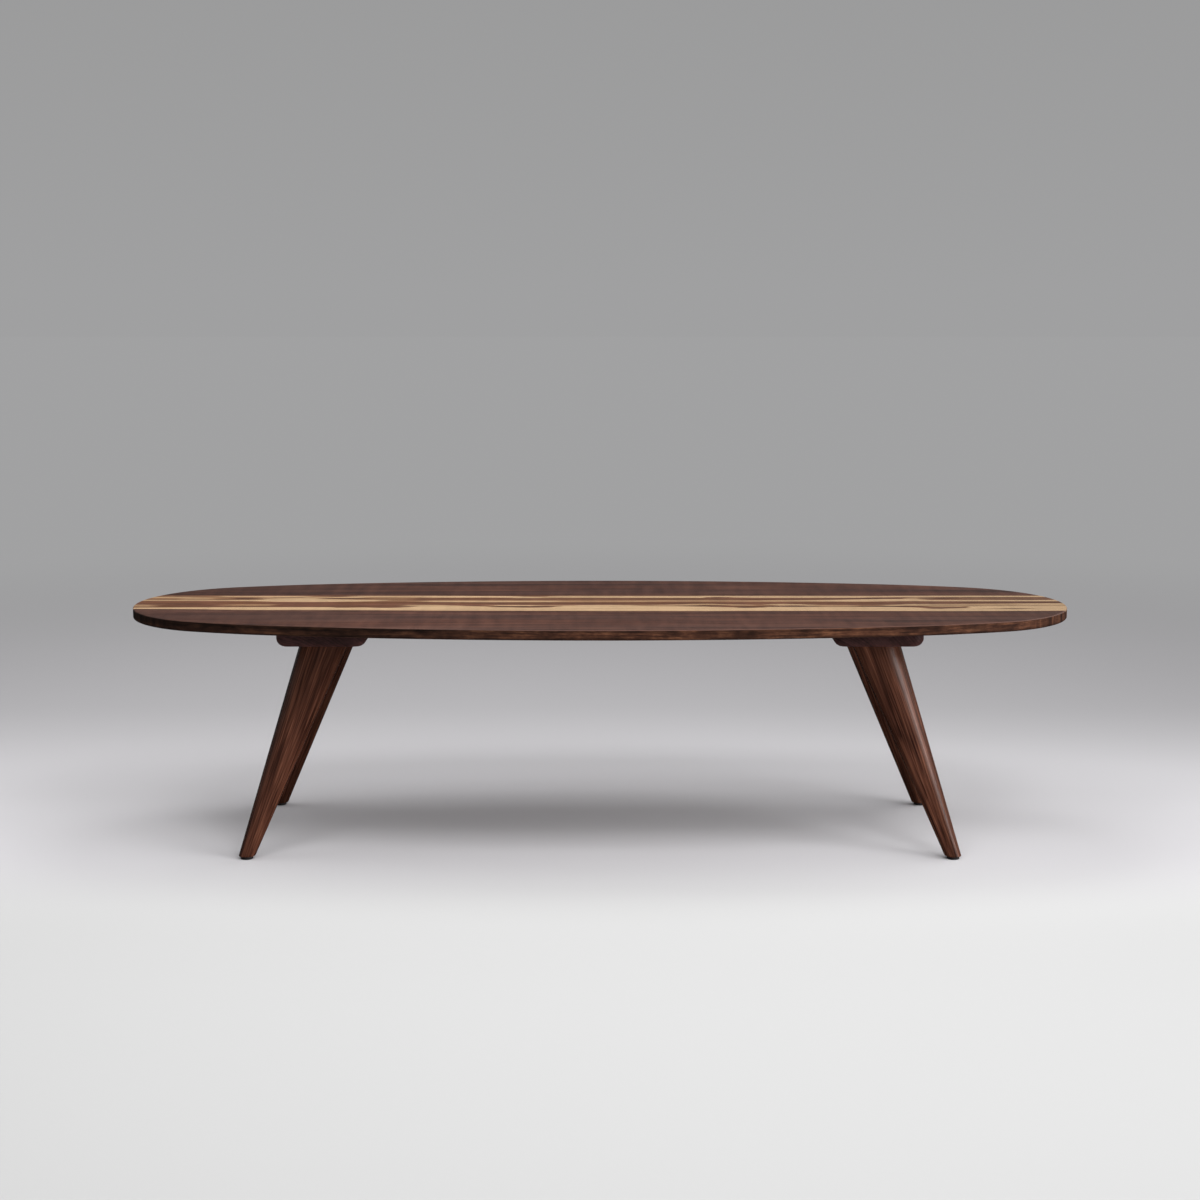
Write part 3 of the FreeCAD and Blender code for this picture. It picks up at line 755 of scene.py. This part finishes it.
D_TOP = [(-.80, -.046), (-.70, -.043), (-.60, -.040), (-.48, -.041), (-.44, -.046), (-.40, -.044),
         (-.36, -.047), (-.335, -.040), (-.31, -.029), (-.275, -.023), (-.24, -.024), (-.20, -.031),
         (-.16, -.041), (-.13, -.045), (-.105, -.044), (-.08, -.036), (-.055, -.025), (-.03, -.018),
         (.02, -.017), (.06, -.024), (.10, -.029), (.16, -.032), (.20, -.041), (.245, -.043), (.28, -.038),
         (.34, -.036), (.48, -.036), (.52, -.041), (.56, -.054), (.59, -.058), (.605, -.052), (.625, -.038),
         (.65, -.029), (.72, -.027), (.80, -.025)]
D_LOW = [(-.80, -.060), (-.70, -.063), (-.65, -.068), (-.60, -.072), (-.42, -.073), (-.33, -.076), (-.20, -.078),
         (-.05, -.081), (.02, -.083), (.15, -.083), (.25, -.080), (.40, -.080), (.50, -.081), (.60, -.083),
         (.65, -.082), (.75, -.080), (.80, -.077)]
# Lenses where heartwood shows inside the pale wood: middle x, half length, middle y, half width, depth.
LENSES = [(-.618, .034, .056, .0085, 1.3), (-.545, .030, .066, .005, .7), (-.450, .060, .057, .005, 1.3),
          (-.350, .040, -.045, .0045, .5), (-.140, .072, -.036, .0065, 1.1), (.178, .046, -.027, .008, 1.1),
          (.255, .036, -.041, .008, 1.1), (.325, .056, -.033, .0045, 1.4), (.470, .085, .057, .005, 1.2),
          (.490, .065, -.033, .0045, 1.3), (.588, .040, -.050, .0065, .9), (.700, .050, -.055, .005, .8),
          (.600, .035, .057, .008, 1.0), (-.460, .028, .083, .006, .9), (-.02, .10, 0.0, .006, .7),
          (.16, .10, 0.002, .006, .7), (-.16, .05, 0.0, .005, .6), (.70, .10, .012, .006, .7),
          (.75, .05, .044, .004, .8), (-.72, .05, -.004, .014, .6), (-.52, .04, .0, .010, .5)]


def sapwood(g, x, y, z, f, v, heart):
    # Fibres fray the borders; deeper in the board the pale wood runs out.
    fray = g.add(g.mul(g.sub(f["streak"], 0.5), 0.0045), g.mul(g.sub(f["fibre"], 0.5), 0.0012),
                 g.mul(g.sub(f["quick"], 0.5), 0.0030))
    deep = g.linear(z, Z_TOP - 0.001, Z_UNDER, 0.0, 1.0)
    yy = g.add(y, fray, g.mul(deep, 0.006))
    soft = 0.0015
    # The ends of the stripes run out in slanting points.
    slant = g.noise(g.xyz(g.mul(x, 5.0), g.mul(y, 120.0), g.mul(z, 60.0)), 1, 3, 0.6)
    x = g.add(x, g.mul(g.sub(slant, 0.5), 0.10))

    def stripe(mid, half, tone):
        d = g.sub(half, g.math("ABSOLUTE", g.sub(yy, mid)))
        return g.mul(g.smooth(g.sub(d, g.mul(deep, 0.006)), -soft, soft), tone)

    def width(points):
        return g.curve(x, points, vlo=0.0, vhi=0.04)

    def tone(points):
        return g.curve(x, points, vlo=0.0, vhi=1.0)

    top, low = g.curve(x, D_TOP), g.curve(x, D_LOW)
    stripes = [
        stripe(g.curve(x, A_MID), width(A_HALF), tone(A_TONE)),
        stripe(g.curve(x, A2_MID), 0.006, tone(A2_TONE)),
        stripe(0.055, 0.018, tone(M_TONE)),
        stripe(g.curve(x, B_MID), width(B_HALF), tone(B_TONE)),
        stripe(0.036, 0.007, g.mul(g.smooth(x, -0.31, -0.26), g.smooth(x, 0.28, 0.22, 0.0, 0.35))),
        stripe(g.curve(x, C_MID), width(C_HALF), tone(C_TONE)),
        stripe(-0.022, 0.0025, g.mul(g.smooth(x, 0.62, 0.66), 0.5)),
        stripe(-0.029, 0.010, g.mul(g.smooth(x, 0.545, 0.575), g.smooth(x, 0.645, 0.615, 0.0, 0.66))),
        stripe(-0.024, 0.008, g.mul(g.smooth(x, 0.36, 0.39), g.smooth(x, 0.46, 0.43, 0.0, 0.55))),
        stripe(-0.088, 0.004, g.mul(g.smooth(x, 0.49, 0.52), g.smooth(x, 0.64, 0.60, 0.0, 0.35))),
        stripe(g.mul(g.add(top, low), 0.5), g.mul(g.sub(top, low), 0.5), 1.0),
    ]
    # The branch between the two upper stripes.
    ex = g.mul(g.sub(x, g.add(0.558, g.mul(g.sub(yy, 0.057), 0.6))), 1.0 / 0.018)
    ey = g.mul(g.math("ABSOLUTE", g.sub(yy, 0.057)), 1.0 / 0.020)
    stripes.append(g.mul(g.smooth(g.sub(g.sub(1.0, g.mul(ex, ex)), ey), -0.1, 0.6), 0.75))
    pale = stripes[0]
    for s in stripes[1:]:
        pale = g.math("MAXIMUM", pale, s)
    shade = 1.0
    for x0, hl, y0, hw, depth in LENSES:
        ex = g.mul(g.sub(x, x0), 1.0 / hl)
        ey = g.mul(g.math("ABSOLUTE", g.sub(yy, y0)), 1.0 / hw)
        inside = g.smooth(g.sub(g.sub(1.0, g.mul(ex, ex)), ey), -0.25, 0.55)
        pale = g.mul(pale, g.sub(1.0, g.mul(inside, min(0.96, 0.92 * depth))))
        shade = g.mul(shade, g.sub(1.0, g.mul(inside, 0.40 * depth)))
    # Fine fibres show in the pale wood too.
    pale = g.mul(pale, g.add(1.0, g.mul(g.sub(f["streak"], 0.5), 0.55), g.mul(g.sub(f["fibre"], 0.5), 0.35)))
    # Little of it is left on the rim.
    pale = g.mul(pale, g.smooth(deep, 0.10, 0.45, 1.0, 0.10))

    # The reddish zone between the stripes.
    zone = g.mul(g.smooth(g.sub(yy, low), -0.0065, 0.0010), g.smooth(yy, 0.0935, 0.0915))
    zone = g.mul(zone, g.linear(deep, 0.0, 0.5, 1.0, 0.25))
    # Pinkish and tawny patches in the reddish wood.
    blush = g.noise(g.xyz(g.add(g.mul(x, 9.0), 3.3), g.mul(y, 60.0), g.mul(z, 60.0)), 1, 3, 0.6)
    red = g.mix(g.smooth(blush, 0.38, 0.62), (0.118, 0.0440, 0.0180), (0.142, 0.0560, 0.0310))
    red = g.mix(g.smooth(pale, 0.0, 0.35), red, (0.205, 0.102, 0.049))
    tan = g.ramp(pale, [(0.35, (0.205, 0.102, 0.049)), (0.5, (0.272, 0.151, 0.076)),
                        (0.75, (0.378, 0.238, 0.130)), (1.0, (0.505, 0.335, 0.192))])
    base = g.mix(g.smooth(pale, 0.30, 0.40), red, tan)
    tint = g.node("ShaderNodeCombineColor")
    level = g.mul(g.linear(v, 0.15, 0.85, 0.72, 1.28), shade)
    # Dark figure counts for less in the pale wood.
    level = g.add(level, g.mul(g.mul(g.sub(1.0, level), 0.45), pale))
    for k in range(3):
        g.put(tint.inputs[k], level)
    return g.mix(zone, heart, g.mix(1.0, base, tint.outputs[0], "MULTIPLY"))


# Painted light and shade round each leg, mixed with the wood's own tone: degrees from its front face towards +X, and
# the tone.
LEG_PAINTED_LIGHT_AND_SHADE = {
    "front_left": [(-180, 1.1), (-90, .85), (-60, .74), (-46, .92), (-38, 1.28), (-28, 1.58), (-18, 1.48),
                   (-8, 1.38), (2, 1.46), (14, 1.40), (27, 1.18), (46, 1.76), (64, 1.55), (100, 1.2), (180, 1.1)],
    "front_right": [(-180, 1.1), (-90, 1.05), (-66, 1.10), (-46, 1.52), (-36, 1.85), (-26, 2.10), (-16, 1.60),
                    (-6, 1.25), (8, 1.12), (20, 1.12), (28, 1.18), (40, 1.28), (55, 1.10), (180, 1.05)],
    "rear_left": [(-180, 1.0), (-120, 1.2), (-60, 1.05), (-20, 1.20), (30, 1.0), (80, 1.25), (130, 1.05), (180, 1.0)],
    "rear_right": [(-180, 1.1), (-130, .95), (-75, 1.25), (-25, 1.05), (20, 1.15), (75, 1.0), (130, 1.2),
                   (180, 1.1)],
}


def leg_material(name, seed, turn, axes, painted_light_and_shade):
    """Straight-grained wood: every streak follows the leg and narrows with its taper."""
    g = Tree(name)
    coord = g.node("ShaderNodeTexCoord").outputs["Object"]
    foot, u, v_axis, w, length = axes
    rel = g.vmath("SUBTRACT", coord, tuple(foot))
    px, py, pz = (g.vmath("DOT_PRODUCT", rel, tuple(a)) for a in (u, v_axis, w))
    girth = g.linear(pz, 0.0, length, LEG_R_FOOT / LEG_R_TOP, 1.0)
    spread = g.math("POWER", girth, -0.6)
    qx, qy = g.mul(px, spread), g.mul(py, spread)
    s = 5.3 * seed
    sway = g.noise(g.xyz(g.add(g.mul(pz, 3.0), s), g.mul(qx, 12.0), g.mul(qy, 12.0)), 1, 2, 0.5)
    qx, qy = g.add(qx, g.mul(g.sub(sway, 0.5), 0.003)), g.add(qy, g.mul(g.sub(sway, 0.5), -0.003))

    def along(length_scale, width_scale, detail, shift):
        return g.noise(g.xyz(g.add(g.mul(pz, length_scale), s + shift), g.add(g.mul(qx, width_scale), shift),
                             g.mul(qy, width_scale)), 1, detail, 0.55)

    broad = along(1.3, 52.0, 2, 0.0)
    streak = along(1.6, 165.0, 2, 3.7)
    fibre = along(4.0, 430.0, 3, 7.9)
    cloud = along(6.0, 26.0, 2, 11.3)
    dash = g.noise(g.xyz(g.mul(pz, 95.0), g.mul(px, 2300.0), g.mul(py, 2300.0)), 1, 1, 0.5)
    pores = g.smooth(dash, 0.58, 0.72)
    # Growth rings cut along their length: thin dark lines side by side.
    plane = g.add(g.mul(qx, math.cos(turn)), g.mul(qy, math.sin(turn)), g.mul(g.sub(broad, 0.5), 0.004))
    phase = g.math("FRACT", g.add(g.mul(plane, 1.0 / 0.0052), g.mul(streak, 0.8), 40.0))
    late = g.mul(g.smooth(phase, 0.40, 0.95), g.smooth(phase, 1.0, 0.96))
    v = g.add(0.5, g.mul(g.sub(broad, 0.5), 0.4), g.mul(g.sub(streak, 0.5), 0.68), g.mul(g.sub(fibre, 0.5), 0.95),
              g.mul(g.sub(cloud, 0.5), 0.40), g.mul(g.sub(late, 0.3), -0.13))
    color = g.ramp(v, [(0.18, (0.0110, 0.0039, 0.0024)), (0.38, (0.031, 0.0110, 0.0066)),
                       (0.55, (0.061, 0.0221, 0.0131)), (0.84, (0.124, 0.0480, 0.0275))])
    angle = g.add(g.math("ARCTAN2", py, px), g.mul(g.sub(sway, 0.5), 0.35))
    # Painted light and shade by the angle round the leg, mixed with the wood's own tone.
    tone = g.curve(g.mul(angle, 180.0 / math.pi), painted_light_and_shade, lo=-180.0, hi=180.0, vlo=0.0, vhi=2.5)
    shade = g.node("ShaderNodeCombineColor")
    for k in range(3):
        g.put(shade.inputs[k], tone)
    color = g.mix(1.0, color, shade.outputs[0], "MULTIPLY")
    color = g.mix(g.mul(pores, 0.55), color, g.mix(1.0, color, (0.40, 0.34, 0.32), "MULTIPLY"))
    rough = g.add(0.245, g.mul(g.sub(fibre, 0.5), 0.11), g.mul(pores, 0.10))
    height = g.add(g.mul(pores, -1.0), g.mul(fibre, 0.35), g.mul(late, 0.12))
    return g.principled(color, rough, height, distance=0.0001, strength=0.35, Specular_IOR_Level=0.10)


def batten_material(name, seed, pith):
    g = Tree(name)
    coord = g.node("ShaderNodeTexCoord").outputs["Object"]
    px, py, pz = g.split(coord)
    f = grain(g, py, px, pz, seed, pith, wave=0.7)
    v = figure_value(g, f, late=0.30, bands=0.9, fibre=0.5, streak=0.6)
    color = g.ramp(v, [(0.12, (0.026, 0.0100, 0.0090)), (0.5, (0.066, 0.0262, 0.0240)), (0.92, (0.130, 0.0540, 0.0480))])
    n = g.node("ShaderNodeTexCoord").outputs["Normal"]
    _, ny, _ = g.split(n)
    ends = g.smooth(g.math("ABSOLUTE", ny), 0.35, 0.95)
    color = g.mix(g.mul(ends, 0.6), color, g.mix(1.0, color, (0.45, 0.40, 0.42), "MULTIPLY"))
    color = g.mix(g.mul(f["pores"], 0.5), color, g.mix(1.0, color, (0.45, 0.40, 0.38), "MULTIPLY"))
    rough = g.add(0.42, g.mul(g.sub(f["fibre"], 0.5), 0.14), g.mul(f["pores"], 0.10), g.mul(ends, 0.08))
    return g.principled(color, rough, height_of(g, f), distance=0.00012, strength=0.4, Specular_IOR_Level=0.16)


def dowel_material():
    g = Tree("turned_beech")
    coord = g.node("ShaderNodeTexCoord").outputs["Object"]
    x, y, z = g.split(coord)
    fine = g.noise(g.xyz(g.mul(x, 900.0), g.mul(y, 60.0), g.mul(z, 900.0)), 1, 3, 0.6)
    fleck = g.smooth(g.noise(g.xyz(g.mul(x, 700.0), g.mul(y, 260.0), g.mul(z, 2600.0)), 1, 1, 0.5), 0.60, 0.70)
    color = g.ramp(fine, [(0.25, (0.42, 0.255, 0.140)), (0.55, (0.58, 0.39, 0.235)), (0.85, (0.68, 0.49, 0.32))])
    color = g.mix(g.mul(fleck, 0.6), color, (0.30, 0.155, 0.080))
    rough = g.add(0.55, g.mul(g.sub(fine, 0.5), 0.2))
    return g.principled(color, rough, fine, distance=0.00006, strength=0.4)


def zinc_material():
    g = Tree("bright_zinc")
    coord = g.node("ShaderNodeTexCoord").outputs["Object"]
    spangle = g.noise(coord, 1400, 3, 0.6)
    blotch = g.noise(coord, 160, 2, 0.5)
    turned = g.noise(g.vmath("MULTIPLY", coord, (300.0, 300.0, 9000.0)), 1, 2, 0.6)
    color = g.ramp(g.add(g.mul(spangle, 0.5), g.mul(blotch, 0.5)),
                   [(0.3, (0.40, 0.41, 0.43)), (0.5, (0.56, 0.57, 0.58)), (0.7, (0.68, 0.675, 0.65))])
    rough = g.add(0.24, g.mul(spangle, 0.16), g.mul(blotch, 0.10))
    return g.principled(color, rough, g.add(g.mul(turned, 0.7), g.mul(spangle, 0.3)),
                        distance=0.00003, strength=0.5, Metallic=1.0)


def brass_material():
    g = Tree("turned_brass")
    coord = g.node("ShaderNodeTexCoord").outputs["Object"]
    tarnish = g.noise(coord, 260, 3, 0.6)
    turned = g.noise(g.vmath("MULTIPLY", coord, (200.0, 200.0, 7000.0)), 1, 2, 0.6)
    color = g.ramp(tarnish, [(0.3, (0.50, 0.33, 0.11)), (0.55, (0.72, 0.53, 0.22)), (0.8, (0.80, 0.63, 0.31))])
    rough = g.add(0.22, g.mul(tarnish, 0.22))
    return g.principled(color, rough, turned, distance=0.00003, strength=0.5, Metallic=1.0)


def nylon_material():
    g = Tree("dark_nylon")
    coord = g.node("ShaderNodeTexCoord").outputs["Object"]
    mould = g.noise(coord, 2600, 2, 0.6)
    scuff = g.noise(g.vmath("MULTIPLY", coord, (500.0, 500.0, 1400.0)), 1, 3, 0.6)
    dust = g.smooth(scuff, 0.52, 0.78)
    color = g.mix(g.mul(dust, 0.55), (0.010, 0.0085, 0.008), (0.040, 0.034, 0.031))
    rough = g.add(0.42, g.mul(mould, 0.16), g.mul(dust, 0.14))
    return g.principled(color, rough, mould, distance=0.00005, strength=0.35, Specular_IOR_Level=0.4)


# ------------------------------------------------------------------- assembly
boards = top_boards()
battens = {s: batten(s) for s in (-1, 1)}
legs = {
    "front_left": leg("front_left", -1, -1),
    "front_right": leg("front_right", 1, -1),
    "rear_left": leg("rear_left", -1, 1),
    "rear_right": leg("rear_right", 1, 1),
}


def dress(ob, mat):
    ob.data.materials.clear()
    ob.data.materials.append(mat)


dress(boards["front"], top_material("walnut_front", 1.0, (-0.95, 0.33),
             [(-0.8, 0.84), (-0.55, 0.90), (-0.32, 1.08), (0, 0.98), (0.3, 1.04), (0.6, 0.86), (0.8, 0.80)]))
dress(boards["center"], top_material("walnut_center", 2.0, (0.90, 0.33),
             [(-0.8, 0.97), (-0.3, 0.98), (0, 0.95), (0.2, 0.95), (0.5, 0.86), (0.8, 0.80)], streaks=True))
dress(boards["rear"], top_material("walnut_rear", 3.0, (1.05, 0.35),
             [(-0.8, 0.80), (-0.45, 0.86), (0, 0.94), (0.3, 0.97), (0.6, 0.98), (0.8, 1.0)]))
dress(battens[-1], batten_material("walnut_batten_left", 4.0, (-0.62, 0.10)))
dress(battens[1], batten_material("walnut_batten_right", 5.0, (0.25, 0.12)))
for k, (key, ob) in enumerate(legs.items()):
    turn = [0.9, 2.3, 0.4, 1.7][k]
    side = (-1 if "left" in key else 1, -1 if "front" in key else 1)
    dress(ob, leg_material("walnut_leg_" + key, 6.0 + k, turn, leg_axes(*side), LEG_PAINTED_LIGHT_AND_SHADE[key]))

zinc, brass, beech, nylon = zinc_material(), brass_material(), dowel_material(), nylon_material()
CARRIED = {
    "batten_screws_left": zinc, "batten_screws_right": zinc,
    "batten_washers_left": zinc, "batten_washers_right": zinc,
    "leg_bolts": zinc, "leg_bolt_washers": zinc, "foot_glide_nails": zinc,
    "leg_threaded_inserts": brass,
    "edge_dowels_front_joint": beech, "edge_dowels_rear_joint": beech, "leg_locating_dowels": beech,
    "foot_glide_front_left": nylon, "foot_glide_front_right": nylon,
    "foot_glide_rear_left": nylon, "foot_glide_rear_right": nylon,
}
for node, mat in CARRIED.items():
    ob = frame["nodes"][node]
    if not ob.material_slots:
        ob.data.materials.append(mat)
    for s in ob.material_slots:
        s.link = "OBJECT"
        s.material = mat


# --------------------------------------------------------------- the studio
WALL = (0.358, 0.358, 0.362)
WALL_LOW = (0.352, 0.352, 0.356)
WALL_HIGH = (0.330, 0.330, 0.332)
# A painted pool of light on the pale paper of the floor, by its distance to the front (-) or back (+): highest around
# the table, lower to the front and the back.
FLOOR_PAINTED_POOL = [(-2.0, 0.53), (-1.43, 0.552), (-0.854, 0.582), (-0.605, 0.606), (-0.41, 0.650), (-0.128, 0.70),
              (0.10, 0.700), (0.27, 0.665), (0.45, 0.630), (0.62, 0.578), (0.85, 0.517), (1.13, 0.480),
              (1.40, 0.482), (1.80, 0.492)]


def studio_floor():
    """Flat pale floor that turns into the colour of the far backdrop."""
    me = bpy.data.meshes.new("studio_floor")
    s = 40.0
    me.from_pydata([(-s, -s, 0), (s, -s, 0), (s, s, 0), (-s, s, 0)], [], [(0, 1, 2, 3)])
    ob = bpy.data.objects.new("studio_floor", me)
    bpy.context.scene.collection.objects.link(ob)
    ob.visible_glossy = False
    g = Tree("studio_floor")
    coord = g.node("ShaderNodeTexCoord").outputs["Object"]
    x, y, _ = g.split(coord)
    # The painted pool of light: the floor's tone by its distance to the front or back.
    tone = g.curve(y, FLOOR_PAINTED_POOL, lo=-2.0, hi=2.0, vlo=0.0, vhi=1.0)
    grey = g.node("ShaderNodeCombineColor")
    # A trace of mauve, except in front of the table.
    tint = g.smooth(y, -0.50, -0.15)
    for k, much in enumerate((0.009, -0.008, 0.022)):
        g.put(grey.inputs[k], g.mul(tone, g.add(1.0, g.mul(tint, much))))
    d = g.node("ShaderNodeBsdfDiffuse")
    g.put(d.inputs["Color"], grey.outputs[0])
    e = g.node("ShaderNodeEmission")
    e.inputs["Color"].default_value = (*WALL, 1.0)
    far = g.math("SQRT", g.add(g.mul(x, x), g.mul(y, y)))
    m = g.node("ShaderNodeMixShader")
    g.put(m.inputs[0], g.smooth(far, 1.6, 4.2))
    g.nt.links.new(d.outputs[0], m.inputs[1])
    g.nt.links.new(e.outputs[0], m.inputs[2])
    # Seen from below, the floor lets the underside of the table show.
    below = g.node("ShaderNodeMixShader")
    g.put(below.inputs[0], g.node("ShaderNodeNewGeometry").outputs["Backfacing"])
    g.nt.links.new(m.outputs[0], below.inputs[1])
    g.nt.links.new(g.node("ShaderNodeBsdfTransparent").outputs[0], below.inputs[2])
    g.nt.links.new(below.outputs[0], g.out.inputs[0])
    me.materials.append(g.mat)
    return ob


def studio_world():
    """A grey wall in front and behind, dark flags low at both sides, and above them a large soft reflector
    on the right and a weak one on the left."""
    world = bpy.data.worlds.new("studio")
    bpy.context.scene.world = world
    world.use_nodes = True
    g = Tree.__new__(Tree)
    g.nt = world.node_tree
    g.nt.nodes.clear()
    out = g.node("ShaderNodeOutputWorld")
    bg = g.node("ShaderNodeBackground")
    dx, dy, dz = g.split(g.node("ShaderNodeTexCoord").outputs["Generated"])
    wall = g.ramp(dz, [(0.0, WALL_LOW), (0.07, tuple((a + b) / 2 for a, b in zip(WALL_LOW, WALL_HIGH))),
                       (0.14, WALL_HIGH), (1.0, WALL_HIGH)])
    up = g.smooth(dz, 0.12, 0.26)
    here = g.mul(g.sub(1.0, up), g.smooth(dz, -0.06, -0.03, 0.05, 1.0))
    here = g.mul(here, g.smooth(g.math("ABSOLUTE", dx), 0.42, 0.72, 1.0, 0.5))
    right, left = g.math("MAXIMUM", dx, 0.0), g.math("MAXIMUM", g.mul(dx, -1.0), 0.0)
    glow = g.mul(up, g.add(g.mul(g.mul(right, right), REFLECTOR[0]), g.mul(g.mul(left, left), REFLECTOR[1])))
    lift = g.node("ShaderNodeCombineColor")
    for k in range(3):
        g.put(lift.inputs[k], glow)
    color = g.mix(1.0, g.mix(here, (0.0, 0.0, 0.0), wall), lift.outputs[0], "ADD")
    # Flags and reflectors stand out of the picture: from every side the camera sees the plain wall.
    color = g.mix(g.node("ShaderNodeLightPath").outputs["Is Camera Ray"], color, wall)
    g.put(bg.inputs[0], color)
    bg.inputs[1].default_value = 1.0
    g.nt.links.new(bg.outputs[0], out.inputs[0])


def softbox(name, place, aim, size, watts, color=(1, 1, 1)):
    data = bpy.data.lights.new(name, "AREA")
    data.shape = "RECTANGLE"
    data.size, data.size_y = size
    data.energy = watts
    data.color = color
    ob = bpy.data.objects.new(name, data)
    ob.location = place
    ob.rotation_euler = (Vector(aim) - Vector(place)).to_track_quat("-Z", "Y").to_euler()
    ob.visible_camera = False
    bpy.context.scene.collection.objects.link(ob)
    return ob


POWER = 23.2
REFLECTOR = (3.54, 0.62)
# Panels of the ceiling light, 2.4 m up: x, y and share of POWER.
CEILING = [(0.8, -2.0, 0.56), (0.8, -1.4, 0.45), (-0.8, -1.4, 0.52), (0.0, -1.4, 0.30), (0.0, 0.6, 0.36),
           (-1.6, 0.0, 0.20), (-0.8, 0.0, 0.15)]
# Softboxes round the table: azimuth from the front towards +X, elevation, share of POWER.
ROUND = [(60, 14, 0.63), (60, 36, 0.58), (240, 60, 0.23), (270, 36, 0.21), (300, 60, 0.17)]

studio_floor()
studio_world()
for k, (px, py, share) in enumerate(CEILING):
    softbox("ceiling_%d" % k, (px, py, 2.4), (px, py, 0.0), (0.8, 0.8), share * POWER)
for az, el, share in ROUND:
    a, e = math.radians(az), math.radians(el)
    place = (3.2 * math.sin(a) * math.cos(e), -3.2 * math.cos(a) * math.cos(e), 0.3 + 3.2 * math.sin(e))
    softbox("softbox_%d_%d" % (az, el), place, (0.0, 0.0, 0.3), (1.2, 1.2), share * POWER)
grid = softbox("right_grid", (1.58, -0.60, 0.60), (0.54, -0.14, 0.17), (0.5, 0.8), 2.5)
grid.data.spread = math.radians(75)
# The grid light is flagged off the floor and the top, and only models what stands under the top.
lit = bpy.data.collections.new("lit_by_grid")
for ob in bpy.context.scene.objects:
    if ob.type == "MESH" and ob.name != "studio_floor" and ob not in boards.values():
        lit.objects.link(ob)
grid.light_linking.receiver_collection = lit

cam_data = bpy.data.cameras.new("camera")
cam_data.sensor_fit = "AUTO"
cam_data.sensor_width = 36.0
cam_data.lens = 60.0
cam_data.clip_start, cam_data.clip_end = 0.05, 200.0
cam = bpy.data.objects.new("camera", cam_data)
cam.location = (0.0, -3.407383, 0.930974)
cam.rotation_euler = (math.radians(90.0) - 0.152272, 0.0, 0.0)
bpy.context.scene.collection.objects.link(cam)
bpy.context.scene.camera = cam

view = bpy.context.scene.view_settings
view.view_transform = "Standard"
view.look = "None"
view.exposure = 0.0
view.gamma = 1.0
